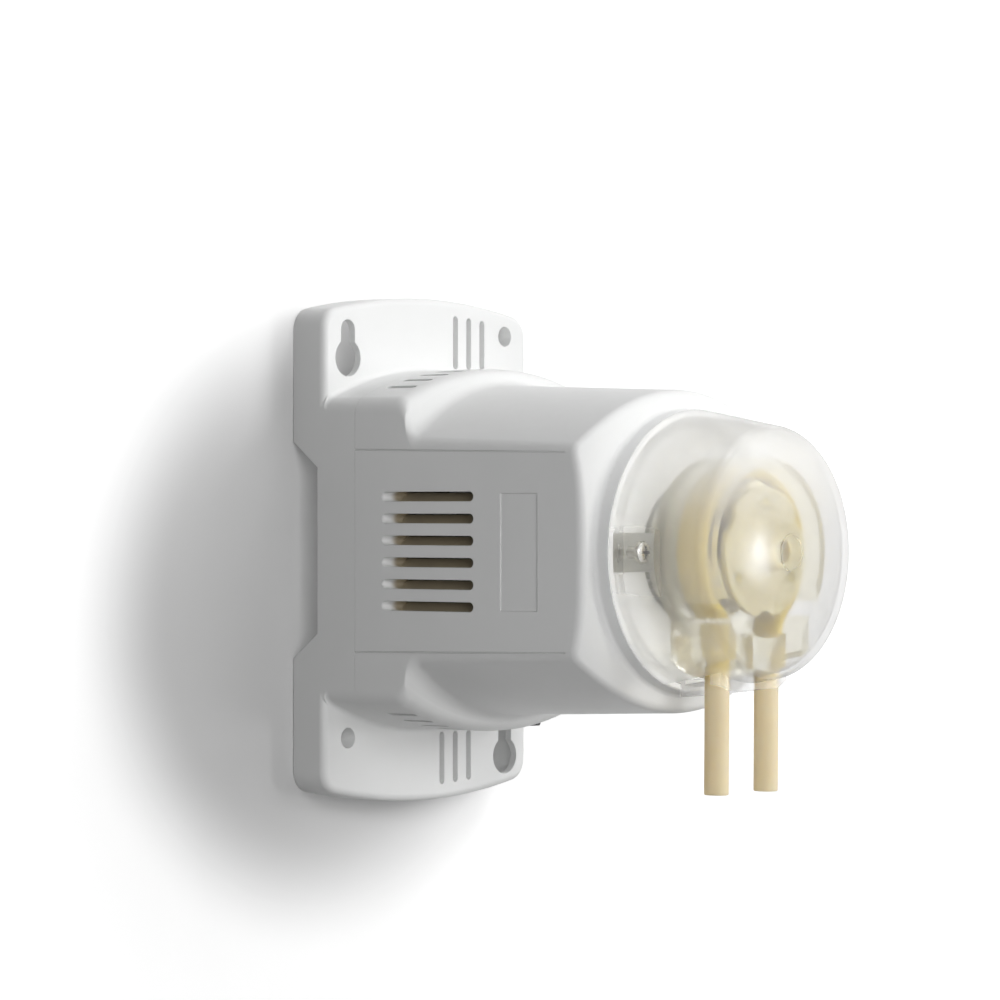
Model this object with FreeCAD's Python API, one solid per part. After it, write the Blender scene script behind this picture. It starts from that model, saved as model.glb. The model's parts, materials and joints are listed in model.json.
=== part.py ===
"""Wall-mounted peristaltic pump: a moulded two-part housing with a geared motor and a three-roller head.

Frame: the origin is the centre of the back, on the wall plane. +X is to the right when the pump is
seen from the front, +Z is up and +Y points into the wall, so the pump stands out towards -Y.
A "depth" is a distance out from the wall, which is -Y. All lengths are millimetres.
"""
import FreeCAD, Part
import math
import os

os.makedirs("parts", exist_ok=True)
Vector = FreeCAD.Vector

# ------------------------------------------------------------------ driving dimensions

# Fits between pieces
slip = 0.05              # radial play of a running shaft, or of a piece that slides in by hand
gap = 0.4                # between pieces that pass each other and never touch
half_turn = 180.0        # degrees
seat_gap = 0.1           # between the cover's rim and the ring it stands on

# Housing section: flat sides with arched top and bottom
half_width = 42.0
wall = 2.2

# Wall plate with its two ears
plate_apex = 68.5
plate_arc = 189.5
plate_corner = 6.0
plate_depth = 11.0
plate_wall = 2.1
plate_edge_round = 2.0
channel_depth = 8.6      # cable channel across the back
channel_half = 22.1
channel_mouth_half = 29.0

# Holes in the ears
hole_side = 9.5          # from the flat side to the hole centres
top_hole_drop = 9.5      # from the apex of the plate's edge
low_hole_rise = 18.3
fix_hole_radius = 2.75
key_radius = 5.0
key_drop = 7.5           # from the narrow end of a keyhole down to its wide end
key_ring_wall = 1.4      # raised ring behind each plain fixing hole
key_ring_height = 3.0
ear_slot_count = 3
ear_slot_width = 2.0
ear_slot_pitch = 5.6
ear_slot_margin = 4.1    # from the far end of a slot to the arched edge
top_slot_x = 11.5
low_slot_x = 5.8
top_slot_rise = 0.8      # from the tray's apex to the near end of a slot
low_slot_rise = 1.3

# Wide rear section with its shoulder
tray_length = 11.0       # from the plate to the parting joint
rear_apex = 48.7
rear_arc = 100.0
rear_corner = 5.0
root_blend = 1.4         # soft foot where the rear section leaves the plate
rear_skirt = 13.5        # straight part of the front housing behind the shoulder
shoulder_round = 4.3
shoulder_hollow = 4.2

# Narrow front section
front_apex = 44.9        # at the parting joint
front_arc = 64.3
front_corner = 5.0
front_draft = 2.1        # degrees, top and bottom
front_length = 77.6      # from the parting joint to the face
face_flat_radius = 38.0
face_round = 22.0
face_edge_round = 2.4
boss_radius = 37.0
boss_taper = 0.5
boss_wall = 2.2
boss_height = 4.0
boss_foot = 1.2
shaft_port_radius = 9.0

# Vents and panel lines
vent_count = 6
vent_pitch = 5.73
vent_height = 2.5
vent_length = 31.6
vent_overrun = 4.0       # tools run this far past the wall they cut
vent_setback = 9.6       # from the parting joint
slat_reach = 3.4
slat_thickness = 0.9
slat_rise = 2.3
top_vent_count = 11
top_vent_pitch = 6.45
top_vent_width = 2.0
top_vent_setback = 3.0
top_vent_margin = 0.5    # left before the shoulder
groove = 0.35
panel_line_back = 26.9
panel_line_front = 25.7
panel_line_stop = 6.0    # short of the face
label_setback = 9.1      # from the vents
label_length = 12.3
label_half_height = 15.1

# Screws that join the housing halves
post_side = 12.0         # from the flat side
post_z = 18.0
post_radius = 4.0
post_length = 20.0
rib_thickness = 1.8
housing_screw_radius = 1.5
housing_screw_head = 2.8
housing_screw_head_height = 2.0
housing_screw_bite = 14.0

# Cable entry and terminals
grommet_x = 18.4
grommet_setback = 8.0    # from the parting joint
grommet_radius = 3.4
grommet_flange_radius = 4.6
grommet_flange = 1.1
grommet_bore = 1.9
grommet_bead = 0.8
grommet_bead_height = 1.6
terminal_width = 26.0
terminal_height = 16.0
terminal_tall = 9.0
terminal_ways = 3
terminal_screw_radius = 1.9

# Gear train: output, second, first, motor; axes follow one another at these angles
module_coarse = 0.8
module_fine = 0.6
output_teeth_count = 42
second_pinion_teeth_count = 12
second_wheel_teeth_count = 48
first_pinion_teeth_count = 12
first_wheel_teeth_count = 50
motor_pinion_teeth_count = 10
angle_second = 225.0
angle_first = -20.0
angle_motor = 135.0
backlash = 0.16
addendum = 0.85
dedendum = 1.15
pressure_angle = 20.0
rim_modules = 4          # depth of a wheel's rim inside its pitch circle, in modules
hub_share = 2.2          # hub radius over shaft radius

# Gearbox frame
gearbox_pad = 3.0        # pads between the front plate and the face wall
rear_plate_thickness = 1.5
front_plate_thickness = 2.0
end_play = 0.3
layer_gap = 0.6
layer_first = 3.4        # face widths of the three gear layers
layer_second = 4.0
layer_output = 5.0
gearbox_left = -37.0
gearbox_right = 25.0
gearbox_low = -38.5
gearbox_high = 20.0
gearbox_rim = 4.2        # the plates are rounded off this far outside their farthest post
spacer_radius = 2.5
gearbox_screw_radius = 1.4
gearbox_screw_head = 2.6
gearbox_screw_head_height = 1.8
gearbox_posts = ((20.0, 6.8), (-16.5, 14.5), (-33.3, -15.3), (17.0, -32.6))
gear_axle_radius = 1.5
washer_wall = 0.7
output_shaft_radius = 3.0
flat_share = 0.8         # height of the shaft's driving flat over its radius
bush_wall = 1.6
bush_length = 4.0
bush_flange = 1.0
bush_flange_extra = 1.4
clip_thickness = 0.6
clip_bite = 0.6
clip_stand = 1.6

# Shaded-pole motor
stack_length = 18.0
stack_left = 22.0        # from the motor axis to the core's left edge
stack_half_height = 20.0
stack_corner = 3.0
rotor_radius = 12.0
air_gap = 0.4
window_left = 19.0       # from the motor axis
window_half_height = 10.0
leg_width = 10.0
coil_build = 6.0         # thickness of the bobbin's flange on each side of the leg
coil_shy = 0.6           # the winding stops this much short of the flange
coil_corner = 2.5
bobbin_wall = 1.0
bobbin_flange = 1.2
motor_shaft_radius = 1.5
motor_shaft_tail = 5.0
bracket_thickness = 1.5
bracket_half_width = 8.0
motor_spacer = 6.4
motor_bolt_offset = 16.0
motor_bolt_radius = 1.4
motor_bolt_head = 2.6
motor_bolt_head_height = 1.8
end_ring_height = 1.0
pinion_clearance = 2.0

# Pump head
track_radius = 22.0
track_wall = 2.2
track_lip = 1.2          # the track stands this much proud of the rotor
neck_radius = 17.5
neck_length = 8.7
neck_wall = 2.4
back_wall = 1.8
lug_overlap = 1.5        # how far a lug runs into the neck
lug_clearance = 0.8      # from a lug's end to the boss ring
lug_half_height = 5.0
lug_height = 6.9
lug_edge_round = 0.8
lug_screw_x = 26.0
lug_screw_radius = 1.45
lug_screw_head = 2.8
lug_screw_head_height = 1.9
lug_screw_length = 9.0
recess_width = 0.7
recess_depth = 1.1
pilot_run = 1.0          # pilot holes go this much deeper than their screws
outlet_cheek = 3.3       # wall outside each tube end
outlet_top = -14.0

# Tube
tube_radius = 3.175
tube_wall = 1.6
tube_pitch_half = 10.5   # half the distance between the two ends
tube_end_z = -62.0
tube_turn_radius = 10.0
tube_flat_thickness = 3.2
tube_flat_width = 9.0
tube_flat_bore = 0.5     # height of the flattened bore
tube_round_share = 0.45  # the tube turns round again within this share of its bend radius
notch_clearance = 0.35

# Rotor with three rollers
roller_count = 3
roller_radius = 5.5
roller_length = 10.6
roller_gap = 0.35        # between a roller and the flattened tube
roller_end_round = 0.5
roller_pin_radius = 1.5
roller_start_angle = 90.0
rotor_disc_inset = 1.7   # the discs stop this much inside the rollers' reach
rotor_disc_thickness = 1.8
rotor_gap = 0.5          # behind and in front of the rollers, and behind the rotor
scallop_share = 0.3      # scallop radius over disc radius
scallop_reach = 1.2      # distance of a scallop's centre over disc radius
hub_radius = 4.6
hub_nose = 5.8
nose_crown_share = 0.35  # bevelled part of the nose over its radius
hub_foot = 0.8
hub_post_radius = 5.2

# Clear cover
cover_slope = 0.18
cover_wall = 1.6
cover_nose_clearance = 1.0
cover_track_clearance = 0.8
cover_corner_round = 3.0
cover_lip = 2.4
cover_lip_wall = 1.3
lip_clearance = 0.3
chin_half_top = 14.0
chin_half_bottom = 10.3
chin_bevel = 2.0
chin_proud_back = 0.6    # below the cover's wall at its rim
chin_proud_front = 1.7
chin_reach = 3.8         # in front of the tube's centre line
snap_ring_radius = 4.6
snap_ring_width = 0.6
snap_ring_height = 0.3


# ------------------------------------------------------------------ places worked out from them

# Housing, as depths
parting_depth = plate_depth + tray_length
shoulder_start = parting_depth + rear_skirt
shoulder_depth = shoulder_start + shoulder_round
shoulder_end = shoulder_depth + shoulder_hollow
face_depth = parting_depth + front_length
vent_start = parting_depth + vent_setback
vent_end = vent_start + vent_length
top_vent_start = parting_depth + top_vent_setback
top_vent_end = shoulder_start - top_vent_margin
label_start = vent_end + label_setback
label_end = label_start + label_length
grommet_depth = parting_depth + grommet_setback
post_end = parting_depth + post_length
housing_screw_end = parting_depth + housing_screw_bite

# Housing, across and up
hole_x = half_width - hole_side
top_hole_z = plate_apex - top_hole_drop
low_hole_z = low_hole_rise - plate_apex
top_slot_low = rear_apex + top_slot_rise
low_slot_high = -(rear_apex + low_slot_rise)
post_x = half_width - post_side
boss_top_radius = boss_radius - boss_taper
boss_inner_radius = boss_radius - boss_wall

gearbox_reach = max(math.hypot(x, z) for x, z in gearbox_posts) + gearbox_rim

# Gearbox and motor, as depths, from the front backwards
front_plate_end = face_depth - wall - gearbox_pad
front_plate_start = front_plate_end - front_plate_thickness
output_end = front_plate_start - end_play
output_start = output_end - layer_output
second_end = output_start - layer_gap
second_start = second_end - layer_second
first_end = second_start - layer_gap
first_start = first_end - layer_first
rear_plate_end = first_start - layer_gap - bush_flange
rear_plate_start = rear_plate_end - rear_plate_thickness
stack_end = rear_plate_start - motor_spacer - bracket_thickness
stack_start = stack_end - stack_length
clip_start = rear_plate_end - bush_length - clip_thickness - slip

# Pump head, as depths, from the face outwards
lug_end = face_depth + lug_height
lug_screw_seat = lug_end - lug_screw_head_height / 2
back_wall_start = face_depth + neck_length
back_wall_end = back_wall_start + back_wall
rotor_start = back_wall_end + rotor_gap
roller_start = rotor_start + rotor_disc_thickness + rotor_gap
roller_end = roller_start + roller_length
tube_depth = (roller_start + roller_end) / 2
front_disc_start = roller_end + rotor_gap
front_disc_end = front_disc_start + rotor_disc_thickness
track_end = front_disc_end + track_lip
hub_nose_end = front_disc_end + hub_nose
cover_start = face_depth + boss_height + seat_gap
cover_corner_depth = track_end + cover_track_clearance + cover_wall
cover_apex = hub_nose_end + cover_nose_clearance + cover_wall
chin_end = tube_depth + chin_reach

# Pump head, across
cover_rim_radius = boss_radius - seat_gap
lip_outer_radius = boss_inner_radius - lip_clearance
lip_inner_radius = lip_outer_radius - cover_lip_wall
lug_inner = neck_radius - lug_overlap
lug_outer = boss_inner_radius - lug_clearance
outlet_half_width = tube_pitch_half + tube_radius + outlet_cheek
tube_line_radius = track_radius - slip - tube_flat_thickness / 2
roller_reach = tube_line_radius - tube_flat_thickness / 2 - roller_gap
roller_orbit = roller_reach - roller_radius
rotor_disc_radius = roller_reach - rotor_disc_inset


# ------------------------------------------------------------------ general helpers

def at(x, depth, z):
    """Point given by its place across, its depth from the wall and its height."""
    return Vector(x, -depth, z)


def out(length):
    """Vector of a length straight out from the wall."""
    return Vector(0, -length, 0)


def rod(radius, start, end, x=0.0, z=0.0):
    """Solid cylinder between two depths."""
    return Part.makeCylinder(radius, end - start, at(x, start, z), Vector(0, -1, 0))


def pipe(outer, inner, start, end, x=0.0, z=0.0):
    """Hollow cylinder between two depths."""
    return rod(outer, start, end, x, z).cut(rod(inner, start, end, x, z))


def block(x_low, x_high, start, end, z_low, z_high):
    """Box between two depths."""
    return Part.makeBox(x_high - x_low, end - start, z_high - z_low, at(x_low, end, z_low))


def fuse(shapes):
    """One shape from several that touch or overlap."""
    shapes = list(shapes)
    if len(shapes) == 1:
        return shapes[0]
    return shapes[0].multiFuse(shapes[1:]).removeSplitter()


def cut(shape, tools):
    """Shape with every tool taken away."""
    tools = list(tools)
    return shape.cut(tools) if tools else shape


def group(shapes):
    """Several separate solids kept as one node."""
    return Part.makeCompound(list(shapes))


def turned(points, x=0.0, z=0.0):
    """Solid of revolution about a line out from the wall; points are (radius, depth) pairs.

    A point written as a pair of pairs is an arc: the point it passes through, then its end.
    """
    edges = []
    first = points[0]
    last = first
    for item in points[1:] + [first]:
        if isinstance(item[0], tuple):
            through, end = item
            edges.append(Part.Arc(at(x + last[0], last[1], z), at(x + through[0], through[1], z),
                                  at(x + end[0], end[1], z)).toShape())
            last = end
        elif item != last:
            edges.append(Part.makeLine(at(x + last[0], last[1], z), at(x + item[0], item[1], z)))
            last = item
    face = Part.Face(Part.Wire(edges))
    return face.revolve(at(x, 0, z), Vector(0, 1, 0), 2 * half_turn)


def stadium(start, end, radius, run):
    """Long hole tool: a round-ended bar from start to end, drawn out along the vector run."""
    along = (end - start).normalize()
    side = (run.cross(along)).normalize() * radius
    tip = along * radius
    edges = [Part.makeLine(start + side, end + side),
             Part.Arc(end + side, end + tip, end - side).toShape(),
             Part.makeLine(end - side, start - side),
             Part.Arc(start - side, start - tip, start + side).toShape()]
    return Part.Face(Part.Wire(edges)).extrude(run)


def prism(points, run):
    """Straight-sided prism from a list of corners, drawn out along the vector run."""
    return Part.Face(Part.makePolygon(points + [points[0]])).extrude(run)


# ------------------------------------------------------------------ arched housing sections

plate_section = (half_width, plate_apex, plate_arc, plate_corner)
rear_section = (half_width, rear_apex, rear_arc, rear_corner)


def front_section(depth):
    """Section of the narrow front part, which tapers a little towards the face."""
    apex = front_apex - (depth - parting_depth) * math.tan(math.radians(front_draft))
    return (half_width, apex, front_arc, front_corner)


def inset(section, amount):
    """The same section, smaller by an even wall."""
    return tuple(size - amount for size in section)


def mixed(first, second, share):
    """Section part of the way from one section to another."""
    return tuple(a + (b - a) * share for a, b in zip(first, second))


def arched_wire(depth, section):
    """Closed outline at one depth: flat sides, arched top and bottom, rounded corners."""
    half, apex, arc, corner = section
    centre = apex - arc
    rise = math.sqrt((arc - corner) ** 2 - (half - corner) ** 2)
    knuckle_x = half - corner
    knuckle_z = centre + rise
    reach = arc / (arc - corner)
    arc_x = knuckle_x * reach
    arc_z = centre + rise * reach
    turn = math.atan2(rise, knuckle_x) / 2
    mid_x = knuckle_x + corner * math.cos(turn)
    mid_z = knuckle_z + corner * math.sin(turn)

    def corner_arc(right, up, outward):
        ends = [at(right * half, depth, up * knuckle_z), at(right * arc_x, depth, up * arc_z)]
        if not outward:
            ends.reverse()
        return Part.Arc(ends[0], at(right * mid_x, depth, up * mid_z), ends[1]).toShape()

    edges = [Part.makeLine(at(half, depth, -knuckle_z), at(half, depth, knuckle_z)),
             corner_arc(1, 1, True),
             Part.Arc(at(arc_x, depth, arc_z), at(0, depth, apex), at(-arc_x, depth, arc_z)).toShape(),
             corner_arc(-1, 1, False),
             Part.makeLine(at(-half, depth, knuckle_z), at(-half, depth, -knuckle_z)),
             corner_arc(-1, -1, True),
             Part.Arc(at(-arc_x, depth, -arc_z), at(0, depth, -apex), at(arc_x, depth, -arc_z)).toShape(),
             corner_arc(1, -1, False)]
    return Part.Wire(edges)


def section_prism(section, start, end):
    """Straight body with an arched section."""
    return Part.Face(arched_wire(start, section)).extrude(out(end - start))


def section_loft(stations, ruled):
    """Body through several (depth, section) stations."""
    return Part.makeLoft([arched_wire(depth, section) for depth, section in stations], True, ruled)


def quarter_steps(count):
    """Angles that divide a quarter turn evenly, both ends included."""
    return [math.pi / 2 * step / count for step in range(count + 1)]


# ------------------------------------------------------------------ rear housing

def plate_arc_height(x):
    """Height of the plate's arched edge at a place across."""
    return plate_apex - plate_arc + math.sqrt(plate_arc ** 2 - x ** 2)


def keyhole(x, z, start, end):
    """Keyhole tool: a narrow slot that drops into a round opening for the screw's head."""
    low = z - key_drop
    return fuse([stadium(at(x, start, low), at(x, start, z), fix_hole_radius, out(end - start)),
                 rod(key_radius, start, end, x, low)])


def round_hole(x, z, start, end):
    """Plain fixing hole tool."""
    return rod(fix_hole_radius, start, end, x, z)


def channel_tool():
    """Cable channel across the back, with sloping ends."""
    points = [at(-half_width - 1, 0, -channel_mouth_half), at(-half_width - 1, channel_depth, -channel_half),
              at(-half_width - 1, channel_depth, channel_half), at(-half_width - 1, 0, channel_mouth_half)]
    return prism(points, Vector(2 * half_width + 2, 0, 0))


def ear_pocket(up):
    """Hollow behind one ear, open to the wall; up is 1 for the top ear and -1 for the low one."""
    pocket = section_prism(inset(plate_section, plate_wall), 0, plate_depth - plate_wall)
    mouth = channel_mouth_half + plate_wall
    foot = channel_half + plate_wall
    reach = plate_apex + 1
    bounds = [at(-half_width, 0, up * mouth), at(-half_width, channel_depth, up * foot),
              at(-half_width, plate_depth, up * foot), at(-half_width, plate_depth, up * reach),
              at(-half_width, 0, up * reach)]
    return pocket.common(prism(bounds, Vector(2 * half_width, 0, 0)))


def ear_slots():
    """Three thin slots through each ear."""
    tools = []
    reach = ear_slot_width / 2
    for step in range(ear_slot_count):
        top_x = top_slot_x + step * ear_slot_pitch
        low_x = low_slot_x + step * ear_slot_pitch
        top_end = plate_arc_height(top_x) - ear_slot_margin
        low_end = -plate_arc_height(low_x) + ear_slot_margin
        tools.append(stadium(at(top_x, 0, top_slot_low + reach), at(top_x, 0, top_end - reach), reach,
                             out(plate_depth + 1)))
        tools.append(stadium(at(low_x, 0, low_end + reach), at(low_x, 0, low_slot_high - reach), reach,
                             out(plate_depth + 1)))
    return tools


def rear_housing():
    """Wall plate with hollow ears, and the tray that closes the housing from behind."""
    plate = section_prism(plate_section, 0, plate_depth)
    rim = [edge for edge in plate.Edges if abs(edge.BoundBox.YMin + plate_depth) < 0.01
           and abs(edge.BoundBox.YMax + plate_depth) < 0.01]
    plate = plate.makeFillet(plate_edge_round, rim)
    foot = [(plate_depth - plate_edge_round, mixed_foot(1.0))]
    foot += [(plate_depth + root_blend * (1 - math.cos(turn)), mixed_foot(1 - math.sin(turn)))
             for turn in quarter_steps(3)]
    straight = section_prism(rear_section, plate_depth + root_blend, parting_depth)
    tray = fuse([section_loft(foot, True), straight])
    body = fuse([plate, tray])
    hollow = section_prism(inset(rear_section, wall), plate_depth, parting_depth)
    body = cut(body, [hollow, channel_tool(), ear_pocket(1), ear_pocket(-1)])

    rings = []
    for x, z in ((hole_x, top_hole_z), (-hole_x, low_hole_z)):
        rings.append(rod(fix_hole_radius + key_ring_wall, plate_depth - plate_wall - key_ring_height,
                         plate_depth - plate_wall, x, z))
    for x, z in post_places():
        rings.append(rod(post_radius, plate_depth, parting_depth, x, z))
        rings.append(block(min(x, x * half_width / abs(x)), max(x, x * half_width / abs(x)),
                           plate_depth, parting_depth, z - rib_thickness / 2, z + rib_thickness / 2)
                     .common(section_prism(inset(rear_section, wall / 2), plate_depth, parting_depth)))
    body = fuse([body] + rings)

    tools = ear_slots()
    tools.append(round_hole(hole_x, top_hole_z, 0, plate_depth + 1))
    tools.append(round_hole(-hole_x, low_hole_z, 0, plate_depth + 1))
    tools.append(keyhole(-hole_x, top_hole_z, 0, plate_depth + 1))
    tools.append(keyhole(hole_x, low_hole_z, 0, plate_depth + 1))
    for x, z in post_places():
        tools.append(rod(housing_screw_radius + slip, 0, parting_depth + 1, x, z))
        tools.append(rod(housing_screw_head + gap, 0, screw_seat_depth(), x, z))
    return cut(body, tools)


def mixed_foot(share):
    """Rear section, grown a little towards the plate for the soft foot of the tray."""
    half, apex, arc, corner = rear_section
    return (half, apex + root_blend * share, arc, corner)


def screw_seat_depth():
    """Depth at which the housing screws' heads bear."""
    return channel_depth + housing_screw_head_height + gap


def post_places():
    """Places of the four screw posts."""
    return [(right * post_x, up * post_z) for right in (1, -1) for up in (1, -1)]


def housing_screws():
    """Four pan-head screws, put in from behind."""
    screws = []
    seat = screw_seat_depth()
    for x, z in post_places():
        head = rod(housing_screw_head, seat - housing_screw_head_height, seat, x, z)
        top = seat - housing_screw_head_height
        socket = rod(housing_screw_head / 2, top, (top + seat) / 2, x, z)
        shank = rod(housing_screw_radius, seat, housing_screw_end, x, z)
        screws.append(fuse([head.cut(socket), shank]))
    return group(screws)


# ------------------------------------------------------------------ front housing

def shoulder_stations():
    """Stations of the shoulder: a round outer edge, then a hollow inner one."""
    stations = []
    for turn in quarter_steps(4):
        depth = shoulder_start + (shoulder_depth - shoulder_start) * math.sin(turn)
        stations.append((depth, mixed(rear_section, front_section(depth), (1 - math.cos(turn)) / 2)))
    for turn in reversed(quarter_steps(4)[:-1]):
        depth = shoulder_end - (shoulder_end - shoulder_depth) * math.sin(turn)
        stations.append((depth, mixed(rear_section, front_section(depth), (1 + math.cos(turn)) / 2)))
    return stations


def face_tool():
    """Everything behind the gently falling front face."""
    reach = 1.5 * half_width
    drop = face_round - math.sqrt(face_round ** 2 - (face_round * 0.8) ** 2)
    half_drop = face_round - math.sqrt(face_round ** 2 - (face_round * 0.4) ** 2)
    edge = face_flat_radius + face_round * 0.8
    through = (face_flat_radius + face_round * 0.4, face_depth - half_drop)
    return turned([(0, 0), (reach, 0), (reach, face_depth - drop), (edge, face_depth - drop),
                   (through, (face_flat_radius, face_depth)), (0, face_depth)])


def front_shell():
    """Outer form of the front housing, filled."""
    tail = section_prism(rear_section, parting_depth, shoulder_start)
    shoulder = section_loft(shoulder_stations(), True)
    nose = section_loft([(shoulder_end, front_section(shoulder_end)),
                         (face_depth + 1, front_section(face_depth + 1))], True)
    nose = nose.common(face_tool())
    edge_depth = face_depth - 0.25 * face_round
    rim = [edge for edge in nose.Edges if edge.BoundBox.YMax < -edge_depth
           and math.hypot(edge.CenterOfMass.x, edge.CenterOfMass.z) > 0.9 * face_flat_radius]
    nose = nose.makeFillet(face_edge_round, rim)
    return fuse([tail, shoulder, nose])


def boss_ring():
    """Raised ring that the clear cover plugs into."""
    top = face_depth + boss_height
    bend = boss_foot * (1 - math.sqrt(0.5))
    root = face_depth - wall / 2
    foot = boss_radius + boss_foot
    return turned([(boss_inner_radius, root), (foot, root), (foot, face_depth),
                   ((boss_radius + bend, face_depth + bend), (boss_radius, face_depth + boss_foot)),
                   (boss_top_radius, top - groove), (boss_top_radius - groove, top),
                   (boss_inner_radius, top)])


def side_vents():
    """Six long vents through each side wall."""
    tools = []
    reach = vent_height / 2
    for right in (1, -1):
        for row in range(vent_count):
            z = (row - (vent_count - 1) / 2) * vent_pitch
            tools.append(stadium(at(right * (half_width + 1), vent_start + reach, z),
                                 at(right * (half_width + 1), vent_end - reach, z), reach,
                                 Vector(-right * (wall + 2), 0, 0)))
    return tools


def side_slats():
    """Sloping slats inside the vents, which hide the motor and shed drips."""
    slats = []
    for right in (1, -1):
        root = half_width - wall * 0.75
        tip = half_width - wall - slat_reach
        for row in range(vent_count):
            low = (row - (vent_count - 1) / 2) * vent_pitch - vent_height / 2 - slat_thickness
            points = [at(right * root, vent_start - 1, low), at(right * (root - wall), vent_start - 1, low),
                      at(right * tip, vent_start - 1, low + slat_rise),
                      at(right * tip, vent_start - 1, low + slat_rise + slat_thickness),
                      at(right * (root - wall), vent_start - 1, low + slat_thickness),
                      at(right * root, vent_start - 1, low + slat_thickness)]
            slats.append(prism(points, out(vent_end - vent_start + 2)))
    return slats


def top_vents():
    """Row of short vents through the top and the underside of the wide rear section."""
    tools = []
    reach = top_vent_width / 2
    for up in (1, -1):
        for column in range(top_vent_count):
            x = (column - (top_vent_count - 1) / 2) * top_vent_pitch
            if up < 0 and abs(x - grommet_x) < grommet_flange_radius + top_vent_width:
                continue
            z = up * (rear_apex + 1)
            tools.append(stadium(at(x, top_vent_start + reach, z), at(x, top_vent_end - reach, z), reach,
                                 Vector(0, 0, -up * (arch_drop(x) + wall + vent_overrun))))
    return tools


def arch_drop(x):
    """How far the wide section's arch has fallen at a place across."""
    return rear_arc - math.sqrt(rear_arc ** 2 - x ** 2)


def panel_lines():
    """Fine groove round the flat side panel, and the shallow bare label recess."""
    tools = []
    for right in (1, -1):
        side = right * (half_width - groove)
        run = Vector(right * 1.0, 0, 0)
        for up in (1, -1):
            back = up * panel_line_back
            front = up * panel_line_front
            tools.append(prism([at(side, parting_depth, back), at(side, parting_depth, back - up * groove),
                                at(side, face_depth - panel_line_stop, front - up * groove),
                                at(side, face_depth - panel_line_stop, front)], run))
        tools.append(block(min(side, side + run.x), max(side, side + run.x), label_start, label_end,
                           -label_half_height, label_half_height))
    return tools


def front_inside():
    """Hollow of the front housing."""
    wide_end = shoulder_start - gap
    wide = section_prism(inset(rear_section, wall), parting_depth, wide_end)
    inner_end = face_depth - wall
    narrow = section_loft([(wide_end - 1, inset(front_section(wide_end - 1), wall)),
                           (inner_end, inset(front_section(inner_end), wall))], True)
    bevel = turned([(0, 0), (1.5 * half_width, 0), (1.5 * half_width, inner_end - 0.6 * face_round),
                    (face_flat_radius + 0.6 * face_round, inner_end - 0.3 * face_round),
                    (face_flat_radius - wall, inner_end), (0, inner_end)])
    return fuse([wide, narrow.common(bevel)])


def grommet_seat_z():
    """Height of the underside where the cable grommet sits."""
    return -(rear_apex - arch_drop(grommet_x))


def front_posts():
    """Screw posts with ribs to the side walls, and the pads that the gearbox bears on."""
    pieces = []
    keep = section_prism(inset(rear_section, wall / 2), parting_depth, shoulder_start - gap)
    for x, z in post_places():
        side = math.copysign(half_width, x)
        pieces.append(rod(post_radius, parting_depth, post_end, x, z))
        rib = block(min(x, side), max(x, side), parting_depth, post_end, z - rib_thickness / 2,
                    z + rib_thickness / 2)
        pieces.append(rib.common(keep))
    for x, z in gearbox_posts:
        pieces.append(rod(spacer_radius + wall, front_plate_end, face_depth - wall / 2, x, z))
    for right in (1, -1):
        pieces.append(rod(lug_screw_radius + wall, face_depth - lug_boss_length(), face_depth - wall / 2,
                          right * lug_screw_x, 0))
    return pieces


def lug_boss_length():
    """Length of the bosses behind the face that take the pump head's screws."""
    return lug_screw_length - (lug_screw_seat - face_depth) + pilot_run


def front_housing():
    """Main shell: shoulder, tapered body, front face with boss ring, vents and screw posts."""
    body = cut(front_shell(), [front_inside()])
    body = fuse([body, boss_ring()] + side_slats_trimmed() + front_posts())
    tools = side_vents() + top_vents() + panel_lines()
    tools.append(rod(shaft_port_radius, face_depth - wall - 1, face_depth + 1))
    for x, z in post_places():
        tools.append(rod(housing_screw_radius, parting_depth - 1, housing_screw_end + 1, x, z))
    for x, z in gearbox_posts:
        tools.append(rod(gearbox_screw_radius, front_plate_end - 1, gearbox_screw_end(), x, z))
    for right in (1, -1):
        tools.append(rod(lug_screw_radius, face_depth - lug_boss_length() - 1, face_depth + 1,
                         right * lug_screw_x, 0))
    seat = grommet_seat_z()
    tools.append(Part.makeCylinder(grommet_radius, wall + vent_overrun, at(grommet_x, grommet_depth, seat - 2),
                                   Vector(0, 0, 1)))
    return cut(body, tools)


def side_slats_trimmed():
    """Slats cut back to the inside of the side walls' outer skin."""
    skin = section_prism(inset(rear_section, groove), vent_start - 2, vent_end + 2)
    return [slat.common(skin) for slat in side_slats()]


def cable_grommet():
    """Rubber grommet for the supply cable: a flange outside, a groove on the wall, a bead inside."""
    seat = grommet_seat_z()
    lean = math.asin(grommet_x / rear_arc) / 2
    outside = seat - grommet_flange
    flange = Part.makeCone(grommet_flange_radius - groove, grommet_flange_radius, grommet_flange + groove,
                           at(grommet_x, grommet_depth, outside), Vector(0, 0, 1))
    skin = section_prism(rear_section, parting_depth, shoulder_start)
    flange = flange.cut(skin)
    neck_top = seat + wall + grommet_radius * math.tan(lean) * 2 + 1
    neck = Part.makeCylinder(grommet_radius, neck_top - outside, at(grommet_x, grommet_depth, outside),
                             Vector(0, 0, 1))
    bead = Part.makeCone(grommet_radius + grommet_bead, grommet_radius, grommet_bead_height,
                         at(grommet_x, grommet_depth, neck_top), Vector(0, 0, 1))
    run = neck_top + grommet_bead_height - outside + 2
    bore = Part.makeCylinder(grommet_bore, run, at(grommet_x, grommet_depth, outside - 1), Vector(0, 0, 1))
    return fuse([flange, neck, bead]).cut(bore)


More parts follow.
